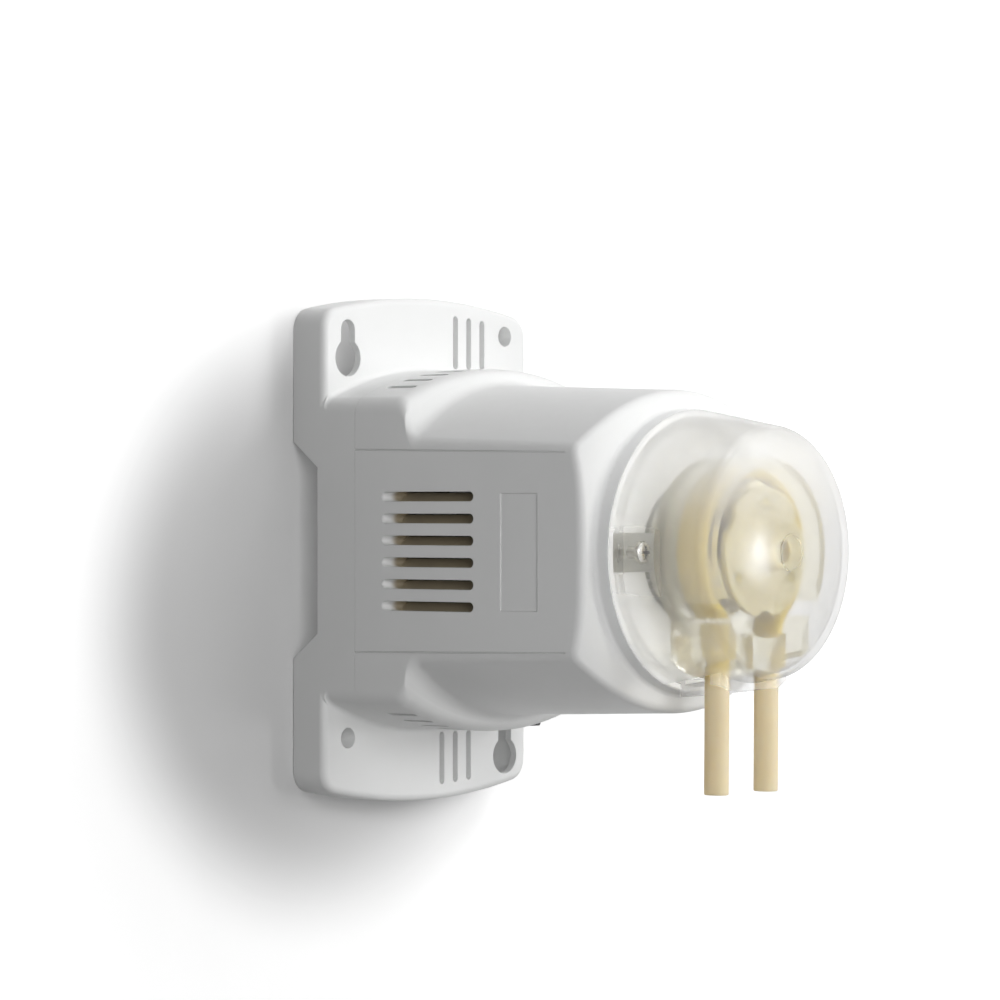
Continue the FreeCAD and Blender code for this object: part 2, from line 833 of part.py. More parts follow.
def terminal_block():
    """Three-way terminal block on the floor of the tray."""
    low = -terminal_height / 2
    body = block(-terminal_width / 2, terminal_width / 2, plate_depth, plate_depth + terminal_tall,
                 low, low + terminal_height)
    tools = []
    pitch = terminal_width / terminal_ways
    top = plate_depth + terminal_tall
    for way in range(terminal_ways):
        x = -terminal_width / 2 + pitch * (way + 0.5)
        for z in (-terminal_height / 4, terminal_height / 4):
            tools.append(rod(terminal_screw_radius + slip, top - terminal_tall / 2, top, x, z))
        tools.append(block(x - pitch / 4, x + pitch / 4, plate_depth + terminal_tall / 5,
                           plate_depth + terminal_tall / 2, low, low + terminal_height))
    for way in range(1, terminal_ways):
        x = -terminal_width / 2 + pitch * way
        tools.append(block(x - groove, x + groove, top - 1, top, low, low + terminal_height))
    return cut(body, tools)


def terminal_screws():
    """Slotted clamp screws of the terminal block."""
    screws = []
    pitch = terminal_width / terminal_ways
    top = plate_depth + terminal_tall
    for way in range(terminal_ways):
        x = -terminal_width / 2 + pitch * (way + 0.5)
        for z in (-terminal_height / 4, terminal_height / 4):
            screw = rod(terminal_screw_radius, top - terminal_tall / 2, top - 1, x, z)
            driver = block(x - terminal_screw_radius, x + terminal_screw_radius, top - 1.6, top - 1,
                           z - groove, z + groove)
            screws.append(screw.cut(driver))
    return group(screws)


# ------------------------------------------------------------------ gears

def step_from(point, distance, angle):
    """Point at a distance and an angle, in degrees, from another, seen from the front."""
    turn = math.radians(angle)
    return (point[0] + distance * math.cos(turn), point[1] + distance * math.sin(turn))


def centre_distance(teeth_a, teeth_b, module):
    """Distance between the axes of two meshing gears."""
    return module * (teeth_a + teeth_b) / 2


output_stride = centre_distance(output_teeth_count, second_pinion_teeth_count, module_coarse)
second_stride = centre_distance(second_wheel_teeth_count, first_pinion_teeth_count, module_fine)
first_stride = centre_distance(first_wheel_teeth_count, motor_pinion_teeth_count, module_fine)
output_axis = (0.0, 0.0)
second_axis = step_from(output_axis, output_stride, angle_second)
first_axis = step_from(second_axis, second_stride, angle_first)
motor_axis = step_from(first_axis, first_stride, angle_motor)


def mating_phase(phase, teeth, mate_teeth, direction):
    """Angle of one tooth of a gear that meshes with another whose tooth stands at phase."""
    offset = (phase - direction) * teeth / mate_teeth
    return direction + half_turn - offset + half_turn / mate_teeth


def involute(angle):
    """Involute function of an angle in radians."""
    return math.tan(angle) - angle


def gear_wire(teeth, module, phase, centre, depth):
    """Outline of a spur gear with involute flanks, one tooth centred on phase degrees."""
    pitch_radius = module * teeth / 2
    base = pitch_radius * math.cos(math.radians(pressure_angle))
    root = pitch_radius - dedendum * module
    tip = pitch_radius + addendum * module
    half_tooth = math.pi / 2 / teeth - backlash / 2 / pitch_radius
    half_pitch_angle = half_tooth + involute(math.radians(pressure_angle))

    def half_angle(radius):
        if radius <= base:
            return half_pitch_angle
        return half_pitch_angle - involute(math.acos(base / radius))

    radii = (root, pitch_radius, tip)
    flank = [(radius, half_angle(radius)) for radius in radii]
    points = []
    for tooth in range(teeth):
        middle = math.radians(phase) + 2 * math.pi * tooth / teeth
        for radius, half in flank:
            points.append((radius, middle - half))
        for radius, half in reversed(flank):
            points.append((radius, middle + half))
    corners = [at(centre[0] + r * math.cos(a), depth, centre[1] + r * math.sin(a)) for r, a in points]
    return Part.makePolygon(corners + [corners[0]])


def gear(teeth, module, phase, centre, start, end):
    """Spur gear, unbored."""
    return Part.Face(gear_wire(teeth, module, phase, centre, start)).extrude(out(end - start))


output_phase = 0.0
second_pinion_phase = mating_phase(output_phase, output_teeth_count, second_pinion_teeth_count, angle_second)
second_wheel_phase = 0.0
first_pinion_phase = mating_phase(second_wheel_phase, second_wheel_teeth_count, first_pinion_teeth_count,
                                  angle_first)
first_wheel_phase = 0.0
motor_pinion_phase = mating_phase(first_wheel_phase, first_wheel_teeth_count, motor_pinion_teeth_count,
                                  angle_motor)


def output_gear():
    """Slowest gear, keyed to the output shaft by its flat."""
    wheel = gear(output_teeth_count, module_coarse, output_phase, output_axis, output_start, output_end)
    rim_inner = module_coarse * output_teeth_count / 2 - rim_modules * module_coarse
    hub = hub_share * output_shaft_radius
    dish = pipe(rim_inner, hub, output_start, output_start + layer_output / 3)
    return wheel.cut([dish, shaft_bar(output_start - 1, output_end + 1)])


def compound_gear(axis, wheel_teeth, wheel_phase, wheel_span,
                  pinion_teeth, pinion_module, pinion_phase, pinion_span):
    """Wheel and pinion moulded in one, turning on a fixed axle."""
    wheel = gear(wheel_teeth, module_fine, wheel_phase, axis, *wheel_span)
    rim_inner = module_fine * wheel_teeth / 2 - rim_modules * module_fine
    hub = hub_share * gear_axle_radius
    dish = pipe(rim_inner, hub, wheel_span[0], wheel_span[0] + (wheel_span[1] - wheel_span[0]) / 3, *axis)
    pinion = gear(pinion_teeth, pinion_module, pinion_phase, axis, wheel_span[1], pinion_span[1])
    bore = rod(gear_axle_radius + slip, wheel_span[0] - 1, pinion_span[1] + 1, *axis)
    return fuse([wheel.cut(dish), pinion]).cut(bore)


def first_gear():
    """First reduction: large wheel on the motor's pinion."""
    wheel_span = (first_start, first_end)
    pinion_span = (second_start, second_end)
    return compound_gear(first_axis, first_wheel_teeth_count, first_wheel_phase, wheel_span,
                         first_pinion_teeth_count, module_fine, first_pinion_phase, pinion_span)


def second_gear():
    """Second reduction: drives the output gear."""
    wheel_span = (second_start, second_end)
    pinion_span = (output_start, output_end)
    return compound_gear(second_axis, second_wheel_teeth_count, second_wheel_phase, wheel_span,
                         second_pinion_teeth_count, module_coarse, second_pinion_phase, pinion_span)


# ------------------------------------------------------------------ gearbox frame

def gearbox_plate(start, thickness):
    """Steel plate that follows the inside of the housing, with holes for its posts."""
    end = start + thickness
    room = section_prism(inset(front_section(face_depth), wall + 2 * gap), start, end)
    plate = block(gearbox_left, gearbox_right, start, end, gearbox_low, gearbox_high)
    plate = plate.common(room).common(rod(gearbox_reach, start, end))
    return cut(plate, [rod(gearbox_screw_radius + slip, start - 1, end + 1, x, z) for x, z in gearbox_posts])


def gearbox_rear_plate():
    """Plate between motor and gears; the motor's pinion passes through it."""
    plate = gearbox_plate(rear_plate_start, rear_plate_thickness)
    start, end = rear_plate_start - 1, rear_plate_end + 1
    pinion_hole = module_fine * motor_pinion_teeth_count / 2 + pinion_clearance
    tools = [rod(gear_axle_radius, start, end, *axis) for axis in (first_axis, second_axis)]
    tools.append(rod(output_shaft_radius + bush_wall, start, end))
    tools.append(rod(pinion_hole, start, end, *motor_axis))
    tools += [rod(motor_bolt_radius, start, end, x, z) for x, z in motor_bolts_at()]
    return cut(plate, tools)


def gearbox_front_plate():
    """Plate behind the front face, with the front output bearing."""
    plate = gearbox_plate(front_plate_start, front_plate_thickness)
    start, end = front_plate_start - 1, front_plate_end + 1
    tools = [rod(gear_axle_radius, start, end, *axis) for axis in (first_axis, second_axis)]
    tools.append(rod(output_shaft_radius + bush_wall, start, end))
    return cut(plate, tools)


def gearbox_spacers():
    """Tubes that hold the two plates apart."""
    return group(pipe(spacer_radius, gearbox_screw_radius + slip, rear_plate_end, front_plate_start, x, z)
                 for x, z in gearbox_posts)


def gearbox_screw_end():
    """Depth reached by the long gearbox screws, short of the face."""
    return face_depth - wall / 2


def gearbox_screws():
    """Long screws through plates and spacers into the housing."""
    screws = []
    for x, z in gearbox_posts:
        head = rod(gearbox_screw_head, rear_plate_start - gearbox_screw_head_height, rear_plate_start, x, z)
        shank = rod(gearbox_screw_radius, rear_plate_start, gearbox_screw_end() - slip, x, z)
        screws.append(fuse([head, shank]))
    return group(screws)


def gear_axles():
    """Fixed steel axles of the two compound gears."""
    return group(rod(gear_axle_radius, rear_plate_start, front_plate_end, *axis)
                 for axis in (first_axis, second_axis))


def output_bushes():
    """Flanged bronze bushes of the output shaft, one in each plate."""
    outer = output_shaft_radius + bush_wall
    inner = output_shaft_radius + slip
    rear = fuse([pipe(outer, inner, rear_plate_end - bush_length, rear_plate_end),
                 pipe(outer + bush_flange_extra, inner, rear_plate_end, rear_plate_end + bush_flange)])
    front = fuse([pipe(outer, inner, front_plate_start, front_plate_start + bush_length),
                  pipe(outer + bush_flange_extra, inner, front_plate_end, front_plate_end + bush_flange)])
    return group([rear, front])


def gear_washers():
    """Thin washers that keep the compound gears in their layers."""
    washers = []
    for axis, low, high in ((first_axis, first_start, second_end), (second_axis, second_start, output_end)):
        inner = gear_axle_radius + slip
        washers.append(pipe(inner + washer_wall, inner, rear_plate_end, low - slip, *axis))
        washers.append(pipe(inner + washer_wall, inner, high + slip, front_plate_start, *axis))
    return group(washers)


# ------------------------------------------------------------------ motor

def motor_bolts_at():
    """Places of the two bolts that clamp the motor."""
    x, z = motor_axis
    return [(x, z + motor_bolt_offset), (x, z - motor_bolt_offset)]


def motor_stack():
    """Laminated core: rotor bore at one end, window and coil leg at the other."""
    x, z = motor_axis
    left, right_side = leg_span()
    body = block(x - stack_left, right_side, stack_start, stack_end,
                 z - stack_half_height, z + stack_half_height)
    corners = [edge for edge in body.Edges if abs(edge.Length - stack_length) < 0.001]
    body = body.makeFillet(stack_corner, corners)
    window = block(x + window_left, left, stack_start, stack_end,
                   z - window_half_height, z + window_half_height)
    tools = [window, rod(rotor_radius + air_gap, stack_start - 1, stack_end + 1, x, z)]
    tools += [rod(motor_bolt_radius + slip, stack_start - 1, stack_end + 1, bolt_x, bolt_z)
              for bolt_x, bolt_z in motor_bolts_at()]
    notch = air_gap * 3
    for right, up in ((1, 1), (-1, -1)):
        shade_x = x + right * (rotor_radius + 1) * math.cos(math.radians(45))
        shade_z = z + up * (rotor_radius + 1) * math.sin(math.radians(45))
        tools.append(block(shade_x - notch, shade_x + notch, stack_start, stack_end,
                           shade_z - notch, shade_z + notch))
    return cut(body, tools)


def leg_span():
    """Left and right sides of the leg that carries the coil."""
    right = half_width - wall - slat_reach - gap - coil_build
    return right - leg_width, right


def coil_bobbin():
    """Moulded bobbin on the coil leg, with a flange at each end."""
    left, right = leg_span()
    z = motor_axis[1]
    flanges = []
    for up in (1, -1):
        inner_face = window_half_height - slip
        low = z + min(up * inner_face, up * (inner_face - bobbin_flange))
        flanges.append(block(left - coil_build, right + coil_build, stack_start - coil_build,
                             stack_end + coil_build, low, low + bobbin_flange))
    core = block(left - bobbin_wall, right + bobbin_wall, stack_start - bobbin_wall, stack_end + bobbin_wall,
                 z - window_half_height + slip, z + window_half_height - slip)
    hole = block(left - slip, right + slip, stack_start - slip, stack_end + slip,
                 z - window_half_height - 1, z + window_half_height + 1)
    return fuse([core] + flanges).cut(hole)


def motor_coil():
    """Copper winding between the bobbin's flanges, taped over."""
    left, right = leg_span()
    z = motor_axis[1]
    height = window_half_height - slip - bobbin_flange
    under = bobbin_wall
    over = coil_build - coil_shy
    body = block(left - over, right + over, stack_start - over, stack_end + over, z - height, z + height)
    upright = [edge for edge in body.Edges if abs(edge.Length - 2 * height) < 0.001]
    body = body.makeFillet(coil_corner, upright)
    return body.cut(block(left - under, right + under, stack_start - under, stack_end + under,
                          z - height, z + height))


def motor_bracket(start, bush_side):
    """Strap across the rotor with a seat for its bush; bush_side is 1 to the front, -1 to the back."""
    x, z = motor_axis
    end = start + bracket_thickness
    strap = stadium(at(x, start, z - motor_bolt_offset), at(x, start, z + motor_bolt_offset),
                    bracket_half_width / 2, out(bracket_thickness))
    hub = rod(bracket_half_width, start, end, x, z)
    seat_start = start if bush_side > 0 else end - bush_length
    seat = rod(motor_shaft_radius + 2 * bush_wall, seat_start, seat_start + bush_length, x, z)
    tools = [rod(motor_shaft_radius + bush_wall, seat_start - 1, seat_start + bush_length + 1, x, z)]
    tools += [rod(motor_bolt_radius + slip, start - 1, end + 1, bx, bz) for bx, bz in motor_bolts_at()]
    return cut(fuse([strap, hub, seat]), tools)


def motor_rear_bracket():
    """Bracket on the wall side of the core."""
    return motor_bracket(stack_start - bracket_thickness, -1)


def motor_front_bracket():
    """Bracket on the gearbox side of the core."""
    return motor_bracket(stack_end, 1)


def motor_bushes():
    """Sintered bushes of the motor shaft."""
    x, z = motor_axis
    outer = motor_shaft_radius + bush_wall
    inner = motor_shaft_radius + slip
    return group([pipe(outer, inner, stack_start - bush_length, stack_start, x, z),
                  pipe(outer, inner, stack_end, stack_end + bush_length, x, z)])


def motor_bolts():
    """Two long bolts from the rear bracket to the gearbox plate."""
    bolts = []
    head_end = stack_start - bracket_thickness
    for x, z in motor_bolts_at():
        head = rod(motor_bolt_head, head_end - motor_bolt_head_height, head_end, x, z)
        bolts.append(fuse([head, rod(motor_bolt_radius, head_end, rear_plate_end, x, z)]))
    return group(bolts)


def motor_spacers():
    """Tubes between the motor's front bracket and the gearbox plate."""
    start = stack_end + bracket_thickness
    return group(pipe(spacer_radius, motor_bolt_radius + slip, start, rear_plate_start, x, z)
                 for x, z in motor_bolts_at())


def motor_rotor():
    """Squirrel-cage rotor with a ring at each end."""
    x, z = motor_axis
    start = stack_start + 2 * gap
    end = stack_end - 2 * gap
    core = rod(rotor_radius, start + end_ring_height, end - end_ring_height, x, z)
    rings = [pipe(rotor_radius - 2 * air_gap, rotor_radius / 2, start, start + end_ring_height, x, z),
             pipe(rotor_radius - 2 * air_gap, rotor_radius / 2, end - end_ring_height, end, x, z)]
    return fuse([core] + rings).cut(rod(motor_shaft_radius, start - 1, end + 1, x, z))


def motor_shaft():
    """Rotor shaft, running in both bushes."""
    return rod(motor_shaft_radius, stack_start - motor_shaft_tail, first_end, *motor_axis)


def motor_pinion():
    """Small brass pinion pressed on the shaft."""
    wheel = gear(motor_pinion_teeth_count, module_fine, motor_pinion_phase, motor_axis, first_start, first_end)
    return wheel.cut(rod(motor_shaft_radius, first_start - 1, first_end + 1, *motor_axis))


# ------------------------------------------------------------------ pump head

def cover_radius(depth):
    """Outer radius of the cover's tapering wall."""
    return cover_rim_radius - cover_slope * (depth - cover_start)


def turn_centre():
    """Centre of the bend that takes the right-hand end of the tube out of the track."""
    x = tube_pitch_half + tube_turn_radius
    reach = tube_line_radius + tube_turn_radius
    return x, -math.sqrt(reach ** 2 - x ** 2)


def tube_round_z():
    """Height below which the ends of the tube are fully round."""
    return turn_centre()[1] - tube_turn_radius * tube_round_share


def tube_channel(right):
    """Room for one end of the tube in the outlet block, open to the front."""
    width = tube_radius + notch_clearance
    centre_x, centre_z = turn_centre()
    bend = pipe(tube_turn_radius + width, tube_turn_radius - width, tube_depth - tube_flat_width / 2 - gap,
                track_end + 1, right * centre_x, centre_z)
    quarter = block(min(0, right * centre_x), max(0, right * centre_x), back_wall_start, track_end + 2,
                    centre_z, 0)
    x = right * tube_pitch_half
    slot = stadium(at(x, tube_depth, -cover_rim_radius), at(x, cover_apex, -cover_rim_radius), width,
                   Vector(0, 0, cover_rim_radius + centre_z))
    neck_down = block(x - width, x + width, tube_depth - tube_flat_width / 2 - gap, track_end + 1,
                      tube_round_z() - gap, centre_z)
    return fuse([bend.common(quarter), neck_down, slot])


def head_body():
    """Clear head: hollow neck with two screw lugs, back wall, roller track and tube outlet."""
    room = turned([(0, face_depth), (cover_radius(face_depth) - cover_wall - 2 * gap, face_depth),
                   (cover_radius(track_end) - cover_wall - 2 * gap, track_end), (0, track_end)])
    room = room.common(rod(lip_inner_radius - gap, face_depth, track_end))
    neck = rod(neck_radius, face_depth, back_wall_start)
    disc = rod(track_radius + track_wall, back_wall_start, back_wall_end)
    track = rod(track_radius + track_wall, back_wall_end, track_end)
    outlet = block(-outlet_half_width, outlet_half_width, back_wall_start, track_end,
                   -cover_rim_radius, outlet_top)
    lugs = []
    for right in (1, -1):
        near, far = right * lug_inner, right * lug_outer
        lug = block(min(near, far), max(near, far), face_depth, lug_end, -lug_half_height, lug_half_height)
        soft = [edge for edge in lug.Edges if abs(edge.BoundBox.YMin + lug_end) < 0.01
                and abs(edge.BoundBox.YMax + lug_end) < 0.01 and edge.BoundBox.XLength > 1]
        lugs.append(lug.makeFillet(lug_edge_round, soft))
    body = fuse([neck, disc, track, outlet.common(room)] + lugs)
    tools = [rod(neck_radius - neck_wall, face_depth - 1, back_wall_start),
             rod(track_radius, back_wall_end, track_end + 1),
             rod(output_shaft_radius + bush_wall + slip, back_wall_start - 1, back_wall_end + 1),
             tube_channel(1), tube_channel(-1)]
    for right in (1, -1):
        tools.append(rod(lug_screw_radius + slip, face_depth - 1, lug_end + 1, right * lug_screw_x, 0))
        tools.append(rod(lug_screw_head + 2 * slip, lug_screw_seat, lug_end + 1, right * lug_screw_x, 0))
    return cut(body, tools)


def head_screws():
    """Pan-head cross-recess screws through the lugs."""
    screws = []
    for right in (1, -1):
        x = right * lug_screw_x
        seat = lug_screw_seat
        top = seat + lug_screw_head_height
        rise = lug_screw_head_height * 0.45
        head = turned([(0, seat), (lug_screw_head, seat), (lug_screw_head, top - rise),
                       ((lug_screw_head * 0.75, top - rise * 0.35), (lug_screw_head * 0.35, top)), (0, top)], x)
        arm = lug_screw_head * 0.55
        slot = recess_width / 2
        cross = [block(x - arm, x + arm, top - recess_depth, top + 1, -slot, slot),
                 block(x - slot, x + slot, top - recess_depth, top + 1, -arm, arm)]
        shank = rod(lug_screw_radius, seat - lug_screw_length, seat, x, 0)
        screws.append(fuse([head, shank]).cut(cross))
    return group(screws)


def shaft_seal():
    """Lip seal in the head's back wall."""
    return pipe(output_shaft_radius + bush_wall, output_shaft_radius + slip, back_wall_start, back_wall_end)


# ------------------------------------------------------------------ tube

def oval_edges(width, thickness):
    """Round-sided oval about the tube's centre line on the track, at the top of the track."""
    line = tube_line_radius
    half_t = thickness / 2
    half_w = width / 2 - half_t
    low, high = line - half_t, line + half_t
    return Part.Wire([Part.makeLine(at(0, tube_depth - half_w, low), at(0, tube_depth + half_w, low)),
                      Part.Arc(at(0, tube_depth + half_w, low), at(0, tube_depth + half_w + half_t, line),
                               at(0, tube_depth + half_w, high)).toShape(),
                      Part.makeLine(at(0, tube_depth + half_w, high), at(0, tube_depth - half_w, high)),
                      Part.Arc(at(0, tube_depth - half_w, high), at(0, tube_depth - half_w - half_t, line),
                               at(0, tube_depth - half_w, low)).toShape()])


def spun(wire, centre, start, sweep):
    """Section turned about a centre, from a start angle through a sweep, in degrees from the front."""
    face = Part.Face(wire)
    face.rotate(at(centre[0], 0, centre[1]), Vector(0, 1, 0), start)
    return face.revolve(at(centre[0], 0, centre[1]), Vector(0, 1, 0), sweep)


def tube_part(width, thickness, leg_radius):
    """Solid of the tube's outside or bore: track, two bends, two loft pieces and two legs."""
    centre_x, centre_z = turn_centre()
    lean = math.degrees(math.atan2(-centre_z, centre_x))
    wire = oval_edges(width, thickness)
    half_sweep = half_turn / 2 + lean
    pieces = [spun(wire, (0, 0), -half_sweep, 2 * half_sweep)]
    join_z = tube_round_z()
    for right in (1, -1):
        end_face = Part.Face(wire)
        end_face.rotate(Vector(0, 0, 0), Vector(0, 1, 0), right * half_sweep)
        bend = end_face.revolve(at(right * centre_x, 0, centre_z), Vector(0, 1, 0), -right * lean)
        pieces.append(bend)
        x = right * tube_pitch_half
        pieces.append(oval_to_round(x, centre_z, join_z, width, thickness, leg_radius))
        pieces.append(Part.makeCylinder(leg_radius, join_z - tube_end_z, at(x, tube_depth, tube_end_z),
                                        Vector(0, 0, 1)))
    return fuse(pieces)


def oval_to_round(x, top, bottom, width, thickness, radius):
    """Loft from the flattened section at the top to the round one below it."""

    def ring(z, half_w, half_t):
        corner = min(half_t, half_w)
        edge = half_w - corner + 0.001
        points = [(edge, half_t), (half_w + 0.001, 0), (edge, -half_t),
                  (-edge, -half_t), (-half_w - 0.001, 0), (-edge, half_t)]
        place = [at(x + t, tube_depth + w, z) for w, t in points]
        return Part.Wire([Part.Arc(place[0], place[1], place[2]).toShape(), Part.makeLine(place[2], place[3]),
                          Part.Arc(place[3], place[4], place[5]).toShape(), Part.makeLine(place[5], place[0])])

    return Part.makeLoft([ring(top, width / 2, thickness / 2), ring(bottom, radius, radius)], True, True)


def pump_tube():
    """Silicone tube: flat between rollers and track, round below the head."""
    outside = tube_part(tube_flat_width, tube_flat_thickness, tube_radius)
    flat_bore_width = tube_flat_width - 2 * tube_wall + tube_flat_bore
    inside = tube_part(flat_bore_width, tube_flat_bore, tube_radius - tube_wall)
    bore = tube_radius - tube_wall
    mouths = [Part.makeCylinder(bore, 1, at(right * tube_pitch_half, tube_depth, tube_end_z - 0.5),
                                Vector(0, 0, 1))
              for right in (1, -1)]
    return outside.cut(fuse([inside] + mouths))


# ------------------------------------------------------------------ rotor

def shaft_bar(start, end, play=0.0):
    """Output shaft with its driving flat."""
    radius = output_shaft_radius + play
    bar = rod(radius, start, end)
    flat = block(-radius, radius, start, end, output_shaft_radius * flat_share + play, radius + 1)
    return bar.cut(flat)


def output_shaft():
    """Steel shaft from the rear bush to the rotor, flatted where it drives."""
    rear = rod(output_shaft_radius, rear_plate_end - bush_length - 1.5, output_start)
    middle = shaft_bar(output_start, output_end)
    journal = rod(output_shaft_radius, output_end, rotor_start)
    drive = shaft_bar(rotor_start, front_disc_end)
    clip_groove = pipe(output_shaft_radius + 1, output_shaft_radius - clip_bite, clip_start,
                       clip_start + clip_thickness)
    return fuse([rear, middle, journal, drive]).cut(clip_groove)


def retaining_clip():
    """Open clip in the shaft's groove."""
    ring = pipe(output_shaft_radius + clip_stand, output_shaft_radius - clip_bite, clip_start,
                clip_start + clip_thickness)
    mouth = block(-clip_stand, clip_stand, clip_start, clip_start + clip_thickness, 0,
                  output_shaft_radius + clip_stand)
    return ring.cut(mouth)


def roller_places():
    """Places of the three roller axes."""
    return [step_from((0, 0), roller_orbit, roller_start_angle + 2 * half_turn * k / roller_count)
            for k in range(roller_count)]


def rotor_disc(start, end):
    """Rotor disc with its scallops between the rollers and holes for the pins."""
    disc = rod(rotor_disc_radius, start, end)
    tools = [shaft_bar(start - 1, end + 1)]
    for x, z in roller_places():
        tools.append(rod(roller_pin_radius, start - 1, end + 1, x, z))
        away = -scallop_reach * rotor_disc_radius / roller_orbit
        tools.append(rod(rotor_disc_radius * scallop_share, start - 1, end + 1, away * x, away * z))
    return disc, tools


def rotor_rear_disc():
    """Rear half of the rotor, with the post that spaces the front half."""
    disc, tools = rotor_disc(rotor_start, rotor_start + rotor_disc_thickness)
    post = rod(hub_post_radius, rotor_start, front_disc_start)
    return cut(fuse([disc, post]), tools + [shaft_bar(rotor_start - 1, front_disc_start + 1)])


def rotor_front_disc():
    """Front half of the rotor, with a closed nose over the shaft's end."""
    disc, tools = rotor_disc(front_disc_start, front_disc_end)
    disc = cut(disc, tools)
    crown = hub_radius * nose_crown_share
    nose = turned([(0, front_disc_end), (hub_radius + hub_foot, front_disc_end),
                   (hub_radius, front_disc_end + hub_foot),
                   (hub_radius, hub_nose_end - crown / 2), (hub_radius - crown / 2, hub_nose_end),
                   (hub_radius - crown, hub_nose_end), (hub_radius - crown, hub_nose_end - crown),
                   (0, hub_nose_end - crown)])
    return fuse([disc, nose])


def roller_pins():
    """Steel pins of the rollers, held in both discs."""
    return group(rod(roller_pin_radius, rotor_start, front_disc_end, x, z) for x, z in roller_places())


def roller(place):
    """Roller with softened ends."""
    x, z = place
    soft = roller_end_round
    bore = roller_pin_radius + slip
    return turned([(bore, roller_start), (roller_radius - soft, roller_start),
                   (roller_radius, roller_start + soft), (roller_radius, roller_end - soft),
                   (roller_radius - soft, roller_end), (bore, roller_end)], x, z)


# ------------------------------------------------------------------ cover

def cover_form(inward):
    """Filled form of the cover, or of its inside when it is drawn in by the wall."""
    edge_radius = cover_radius(cover_corner_depth)
    rise = cover_apex - cover_corner_depth
    crown = (edge_radius ** 2 + rise ** 2) / (2 * rise) - inward
    centre = cover_apex - inward - crown
    corner = cover_corner_round
    slope = math.atan(cover_slope)
    rim = cover_rim_radius - inward / math.cos(slope)

    def wall_radius(depth):
        return rim - cover_slope * (depth - cover_start)

    # The corner arc is tangent to the tapering wall and to the crown.
    inner_rim = rim - corner / math.cos(slope)
    low, high = cover_start, cover_apex
    for _ in range(60):
        middle = (low + high) / 2
        radius = inner_rim - cover_slope * (middle - cover_start)
        if math.hypot(radius, middle - centre) > crown - corner:
            high = middle
        else:
            low = middle
    corner_depth = (low + high) / 2
    corner_radius = inner_rim - cover_slope * (corner_depth - cover_start)
    on_wall = (corner_radius + corner * math.cos(slope), corner_depth + corner * math.sin(slope))
    spread = math.atan2(corner_depth - centre, corner_radius)
    on_crown = (corner_radius + corner * math.cos(spread), corner_depth + corner * math.sin(spread))
    middle_turn = (slope + spread) / 2
    through = (corner_radius + corner * math.cos(middle_turn), corner_depth + corner * math.sin(middle_turn))
    crown_turn = (spread + math.pi / 2) / 2
    crown_through = (crown * math.cos(crown_turn), centre + crown * math.sin(crown_turn))
    return turned([(0, cover_start), (rim, cover_start), on_wall, (through, on_crown),
                   (crown_through, (0, cover_apex - inward))])


def chin():
    """Thick lower edge of the cover, where the tube's ends leave."""
    wires = []
    for depth, proud in ((cover_start, chin_proud_back), (chin_end, chin_proud_front)):
        low = -(cover_radius(depth) + proud)
        top = -cover_radius(chin_end) / 2
        corners = [(-chin_half_top, top), (-chin_half_top, low + chin_bevel), (-chin_half_bottom, low),
                   (chin_half_bottom, low), (chin_half_top, low + chin_bevel), (chin_half_top, top)]
        wires.append(Part.makePolygon([at(x, depth, z) for x, z in corners + corners[:1]]))
    return Part.makeLoft(wires, True, True)


def pump_cover():
    """Clear push-fit cover: tapering wall, domed front, plug lip and thick chin with tube notches."""
    body = fuse([cover_form(0), chin()])
    lip = pipe(lip_outer_radius, lip_inner_radius, cover_start - cover_lip, cover_start + cover_wall)
    ring = pipe(snap_ring_radius + snap_ring_width / 2, snap_ring_radius - snap_ring_width / 2,
                cover_apex - cover_wall / 2, cover_apex + snap_ring_height)
    inside = cover_form(cover_wall)
    seat = pipe(cover_rim_radius, lip_inner_radius, cover_start, cover_start + cover_wall)
    body = fuse([cut(body, [inside]), seat.common(cover_form(0)), lip, ring.cut(inside)])
    tools = [rod(lip_inner_radius, cover_start - cover_lip - 1, cover_start + cover_wall)]
    width = tube_radius + notch_clearance
    for right in (1, -1):
        x = right * tube_pitch_half
        tools.append(stadium(at(x, 0, -cover_rim_radius - chin_bevel),
                             at(x, tube_depth, -cover_rim_radius - chin_bevel), width,
                             Vector(0, 0, cover_rim_radius + chin_bevel - track_radius)))
        near, far = right * (lug_inner - 1), right * (cover_rim_radius + 1)
        tools.append(block(min(near, far), max(near, far), cover_start - cover_lip - 1, cover_start,
                           -lug_half_height - gap, lug_half_height + gap))
        tools.append(block(min(near, right * boss_inner_radius), max(near, right * boss_inner_radius),
                           cover_start - 1, lug_end + gap, -lug_half_height - gap, lug_half_height + gap))
    return cut(body, tools)


# ------------------------------------------------------------------ parts

def save(name, shape):
    """Write one node, after checking that it is sound."""
    solids = len(shape.Solids)
    state = "ok" if shape.isValid() and solids > 0 else "BAD"
    print(f"{name:22s} solids {solids:2d}  volume {shape.Volume:10.1f}  {state}")
    shape.exportStep(f"parts/{name}.step")


